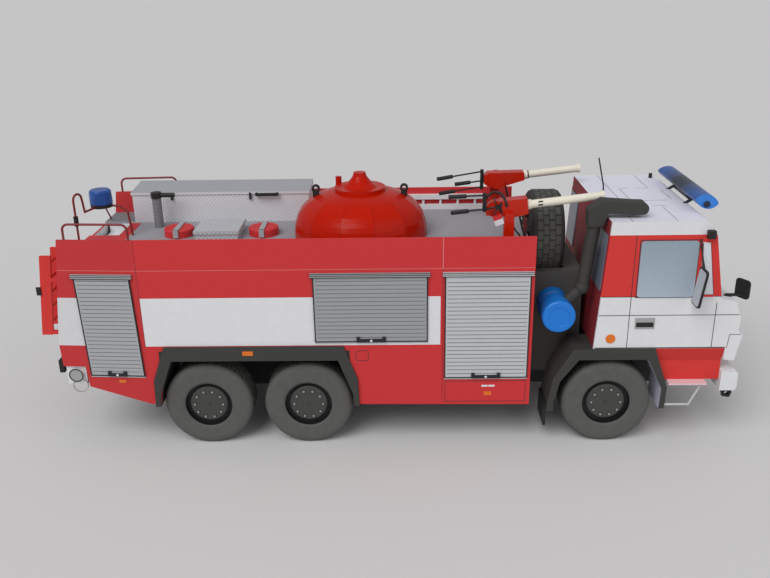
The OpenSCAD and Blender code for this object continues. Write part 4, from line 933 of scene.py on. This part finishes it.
class TRUCK_OT_dress_monitors(bpy.types.Operator):
    """Marks the barrels and hangs gauge, wires and knob on the near monitor"""
    bl_idname = "truck.dress_monitors"
    bl_label = "Dress monitors"

    def execute(self, context):
        low, high = box_mm("monitor_barrels")
        near, far = low.y + 1.95, high.y - 1.95
        self.mark_barrels(low.x - AXLE_X, near, far)
        self.hang_gauge(near)
        tree = wire_tree()
        wires = []
        for radius, points in MONITOR_WIRES:
            path = [Vector((x + AXLE_X, y, z)) * MM for x, y, z in points]
            wires.append((grow(tree, {"Radius": radius * MM}, "black", path), Matrix.Identity(4)))
        keep_mesh("monitor_wires", wires)
        knob = bmesh.new()
        disc(knob, (-45.5, near - 4.0, 98.2), (0, 1, 0), 0.95, 1.4, 16)
        keep("monitor_knob", knob, "black")
        return {"FINISHED"}

    def mark_barrels(self, breech, near, far):
        """Two black marks on the near barrel and a ring round the far one."""
        marks = bmesh.new()
        x = breech + 5.2
        long = 0.9
        for turn in (math.radians(-10), math.radians(35)):
            out = Vector((0, -math.cos(turn), math.sin(turn)))
            across = Vector((0, -out.z, out.y)) * 0.3
            loop = [Vector((x + AXLE_X + end, near, self.barrel_z(x + end, breech))) + out * BARREL_R + side
                    for end, side in ((-long, -across), (long, -across), (long, across), (-long, across))]
            prism(marks, [p - out * 0.2 for p in loop], [p + out * 0.08 for p in loop])
        x = breech + 6.6
        along = (math.cos(BARREL_RISE), 0, math.sin(BARREL_RISE))
        hoop(marks, (x, far, self.barrel_z(x, breech)), along, BARREL_R, 0.14, 0.8)
        keep("barrel_marks", marks, "black")

    def barrel_z(self, x, breech):
        """Height of a barrel's axis at x."""
        return CAB_TOP + 3.7 + (x - breech - 2.8) * math.tan(BARREL_RISE)

    def hang_gauge(self, near):
        """White gauge with a red lid, which hangs askew on its wire."""
        tilt, half = math.radians(20), 1.75
        x, z = box_mm("monitors")[0].x + 4.3, CAB_TOP - 1.4
        for name, foot, head, ink, slot in (("gauge_box", -1.9, 0.3, "white", "white_card"),
                                            ("gauge_lid", 0.3, 1.9, "hatch_red", "hatch_card")):
            loop = [(x + a * math.cos(tilt) - b * math.sin(tilt), z + a * math.sin(tilt) + b * math.cos(tilt))
                    for a, b in rectangle(-half, foot, half, head)]
            gauge = bmesh.new()
            prism(gauge, [(a, near - 5.4, b) for a, b in loop], [(a, near - 3.2, b) for a, b in loop])
            keep(name, gauge, ink)


class TRUCK_OT_edge_deck(bpy.types.Operator):
    """Adds the strut and the lip at the deck's front end"""
    bl_idname = "truck.edge_deck"
    bl_label = "Edge deck"

    def execute(self, context):
        edge = box_mm("deck")[1].x - AXLE_X
        strut = bmesh.new()
        # the strut takes the deep red of the shaded wall, painted shade
        block(strut, (edge - 1.6, -15.0, DECK_Z), (edge - 0.4, -13.0, CAB_TOP - 5.0))
        keep("deck_strut", strut, "dark_red")
        lip = bmesh.new()
        tyre = box_mm("spare_tyre")[0].x - AXLE_X - 0.3
        block(lip, (edge, -30.0, DECK_Z - 0.6), (min(edge + 2.0, tyre), HALF_BODY - 1.2, DECK_Z))
        keep("deck_lip", lip, "deck")
        return {"FINISHED"}


class TRUCK_OT_dress_tail(bpy.types.Operator):
    """Adds the beacon's black base, the couplings' faces and the rear lamps"""
    bl_idname = "truck.dress_tail"
    bl_label = "Dress tail"

    def execute(self, context):
        low, high = box_mm("beacon")
        lamps_low, lamps_high = box_mm("rear_lamps")
        ladder = box_mm("rear_ladder")[0] - Vector((AXLE_X, 0, 0))
        black = bmesh.new()
        hoop(black, ((low.x + high.x) / 2 - AXLE_X, 0, low.z - 1.6), (0, 0, 1), 4.21, 0.3, 1.56)
        foot = box_mm("deck")[0].x - AXLE_X + 1.0
        hoop(black, (foot, -14.0, DECK_Z + 8.5), (0, 0, 1), 0.46, 0.5, 4.0, 12)
        block(black, (TAIL_X - 1.9, -36.0, lamps_high.z - 3.4), (TAIL_X + 0.02, -31.5, lamps_high.z + 2.0))
        block(black, (ladder.x + 0.8, ladder.y - 0.5, 65.2), (ladder.x + 2.6, ladder.y + 0.02, 68.6))
        keep("tail_blacks", black, "black")
        silver, rim, reds, orange = bmesh.new(), bmesh.new(), bmesh.new(), bmesh.new()
        round_r, lamp_w = 2.5, 3.0
        for side in (-1, 1):
            face = Vector((TAIL_X + 5.0, side * lamps_high.y, lamps_high.z - 4.2))
            disc(silver, face, (0, side, 0), round_r, 0.1)
            hoop(rim, face, (0, side, 0), round_r, 0.45, 0.2, 32)
            for lamp, outer in ((reds, lamps_high.y - 2.2), (orange, lamps_high.y - 5.8)):
                y0, y1 = sorted((side * outer, side * (outer - lamp_w)))
                block(lamp, (TAIL_X + 0.92, y0, lamps_low.z + 1.2), (TAIL_X + 1.0, y1, lamps_high.z - 1.2))
        hoop(silver, (TAIL_X + 6.0, -lamps_high.y + 0.4, lamps_low.z - 0.6), (0, 1, 0), 2.9, 0.3, 0.4, 32)
        keep("coupling_faces", silver, "silver")
        keep("coupling_rims", rim, "dark")
        keep("tail_lamps_red", reds, "dark_red")
        keep("tail_lamps_orange", orange, "orange")
        return {"FINISHED"}


class TRUCK_OT_dress_wheels(bpy.types.Operator):
    """Lays tread blocks, black hub wells and silver nuts on the wheels"""
    bl_idname = "truck.dress_wheels"
    bl_label = "Dress wheels"

    def execute(self, context):
        count = context.scene.truck_sizes.tread_blocks
        tread = ring_tree(4)
        nuts = ring_tree(1, round_nuts=True)
        # the blocks are drawn as coarse as they need to show
        step = 2 * math.pi * WHEEL_R / count
        size = Vector((0.24, step * 0.84, 2.05)) * MM
        tread_mesh = grow(tread, {"Count": count, "Radius": (WHEEL_R + 0.02) * MM, "Block": tuple(size),
                                  "Pitch": 2.4 * MM}, "tread")
        nut_mesh = grow(nuts, {"Count": 10, "Radius": (HUB_R - 1.8) * MM, "Block": (0.4 * MM, 0.3 * MM, 0.0),
                               "Pitch": 0.0}, "silver")
        turn = Matrix.Rotation(math.radians(90), 4, "X")
        tread_w, recess = 9.7, 3.0
        for name, body in WHEELS.items():
            middle = axle_place(name)
            treads, dots = [], []
            wells, grooves = bmesh.new(), bmesh.new()
            for side, word in ((-1, "right"), (1, "left")):
                low, high = box_mm(f"tyre_{name}_{word}")
                centre = (low + high) / 2
                treads.append((tread_mesh, Matrix.Translation(centre * MM) @ turn))
                edge = centre - Vector((AXLE_X, tread_w / 2, 0))
                hoop(grooves, edge, (0, 1, 0), WHEEL_R - 0.1, 0.14, tread_w, 96)
                face = high.y if side > 0 else low.y
                place = Vector((middle.x, face - side * 0.65, middle.z)) * MM
                dots.append((nut_mesh, Matrix.Translation(place) @ turn))
                floor = face - side * recess
                outer = [(x, floor, z) for x, z in ring_points(middle.x, middle.z, WELL_R - 0.02, 48)]
                inner = [(x, floor, z) for x, z in ring_points(middle.x, middle.z, HUB_R + 0.02, 48)]
                self.well(wells, outer, inner, side)
            keep_mesh(f"tread_{name}", treads, body)
            keep_mesh(f"nuts_{name}", dots, body)
            keep(f"wells_{name}", wells, "black", body)
            keep(f"grooves_{name}", grooves, "groove", body)
        low, high = box_mm("spare_tyre")
        centre = Vector(((low.x + high.x) / 2, 0, high.z - WHEEL_R))
        spare = Matrix.Translation(centre * MM) @ Matrix.Rotation(math.radians(90), 4, "Y")
        keep_mesh("tread_spare", [(tread_mesh, spare)])
        return {"FINISHED"}

    def well(self, bm, outer, inner, side):
        """Black ring on the floor of the hub's recess, and up its wall."""
        rise = Vector((0, side * 0.06, 0))
        wall = Vector((0, side * 2.45, 0))
        loops = [[bm.verts.new(Vector(p) + s) for p in ring] for ring, s in
                 ((inner, rise), (outer, rise), (outer, wall))]
        for a, b in zip(loops, loops[1:]):
            for i in range(len(a)):
                j = (i + 1) % len(a)
                bm.faces.new((a[i], a[j], b[j], b[i]))


class TRUCK_OT_set_stage(bpy.types.Operator):
    """Sets the floor, the soft light and the camera"""
    bl_idname = "truck.set_stage"
    bl_label = "Set stage"

    def execute(self, context):
        scene = context.scene
        # matte paper sweep: pale and even
        floor_ink = start_material("Paper_floor", 0.9)[0]
        floor_ink.node_tree.nodes["Principled BSDF"].inputs["Base Color"].default_value = linear("#d2d1d0")
        bm = bmesh.new()
        bmesh.ops.create_grid(bm, x_segments=1, y_segments=1, size=6.0)
        mesh = bpy.data.meshes.new("floor")
        bm.to_mesh(mesh)
        bm.free()
        mesh.materials.append(floor_ink)
        floor = bpy.data.objects.new("floor", mesh)
        scene.collection.objects.link(floor)
        # a broad soft light from the left and a weaker one from the right, far off, so the floor is even
        for name, place, spread, power in (("key", (-0.5, -0.75, 0.95), 40, 1.7),
                                           ("fill", (0.8, -0.7, 0.5), 60, 0.5)):
            light = bpy.data.lights.new(name, "SUN")
            light.angle = math.radians(spread)
            light.energy = power
            lamp = bpy.data.objects.new(name, light)
            lamp.rotation_euler = (-Vector(place)).to_track_quat("-Z", "Y").to_euler()
            scene.collection.objects.link(lamp)
        world = bpy.data.worlds.new("Soft room")
        world.use_nodes = True
        world.node_tree.nodes["Background"].inputs["Color"].default_value = linear("#e0e0e4")
        world.node_tree.nodes["Background"].inputs["Strength"].default_value = 0.55
        scene.world = world
        scene.view_settings.view_transform = "Standard"
        self.camera(scene)
        return {"FINISHED"}

    def camera(self, scene):
        """Camera of the photograph: place, turn, tilt, roll and lens."""
        yaw, pitch, roll = -0.02239, 0.36701, -0.01674
        ahead = Vector((math.sin(yaw) * math.cos(pitch), math.cos(yaw) * math.cos(pitch), -math.sin(pitch)))
        right = Vector((math.cos(yaw), -math.sin(yaw), 0))
        up = right.cross(ahead)
        across = math.cos(roll) * right + math.sin(roll) * up
        upright = -math.sin(roll) * right + math.cos(roll) * up
        data = bpy.data.cameras.new("photo_view")
        data.sensor_width = 36
        data.sensor_fit = "HORIZONTAL"
        data.lens = 39.378
        data.clip_start = 0.01
        camera = bpy.data.objects.new("photo_view", data)
        turn = Matrix((across, upright, -ahead)).transposed().to_4x4()
        place = Vector((AXLE_X - 82.75, -343.84, 186.44)) * MM
        camera.matrix_world = Matrix.Translation(place) @ turn
        scene.collection.objects.link(camera)
        scene.camera = camera


class TRUCK_PT_panel(bpy.types.Panel):
    """Sizes, colours and steps of the card fire truck"""
    bl_label = "Fire truck"
    bl_idname = "TRUCK_PT_panel"
    bl_space_type = "VIEW_3D"
    bl_region_type = "UI"
    bl_category = "Fire truck"

    def draw(self, context):
        for group in (context.scene.truck_sizes, context.scene.truck_colours):
            for key in group.bl_rna.properties.keys():
                if key not in ("rna_type", "name"):
                    self.layout.prop(group, key)
        for step in STEPS:
            self.layout.operator(step.bl_idname)


STEPS = (TRUCK_OT_finish_cards, TRUCK_OT_print_body, TRUCK_OT_dress_shutters, TRUCK_OT_print_cab,
         TRUCK_OT_dress_cab, TRUCK_OT_fit_doors, TRUCK_OT_print_roof, TRUCK_OT_dress_monitors,
         TRUCK_OT_edge_deck, TRUCK_OT_dress_tail, TRUCK_OT_dress_wheels, TRUCK_OT_set_stage)
CLASSES = (TruckSizes, TruckColours) + STEPS + (TRUCK_PT_panel,)


def register():
    for kind in CLASSES:
        bpy.utils.register_class(kind)
    bpy.types.Scene.truck_sizes = bpy.props.PointerProperty(type=TruckSizes)
    bpy.types.Scene.truck_colours = bpy.props.PointerProperty(type=TruckColours)


def unregister():
    del bpy.types.Scene.truck_colours
    del bpy.types.Scene.truck_sizes
    for kind in reversed(CLASSES):
        bpy.utils.unregister_class(kind)


def main():
    register()
    for step in STEPS:
        group, name = step.bl_idname.split(".")
        getattr(getattr(bpy.ops, group), name)()


if __name__ == "__main__":
    main()
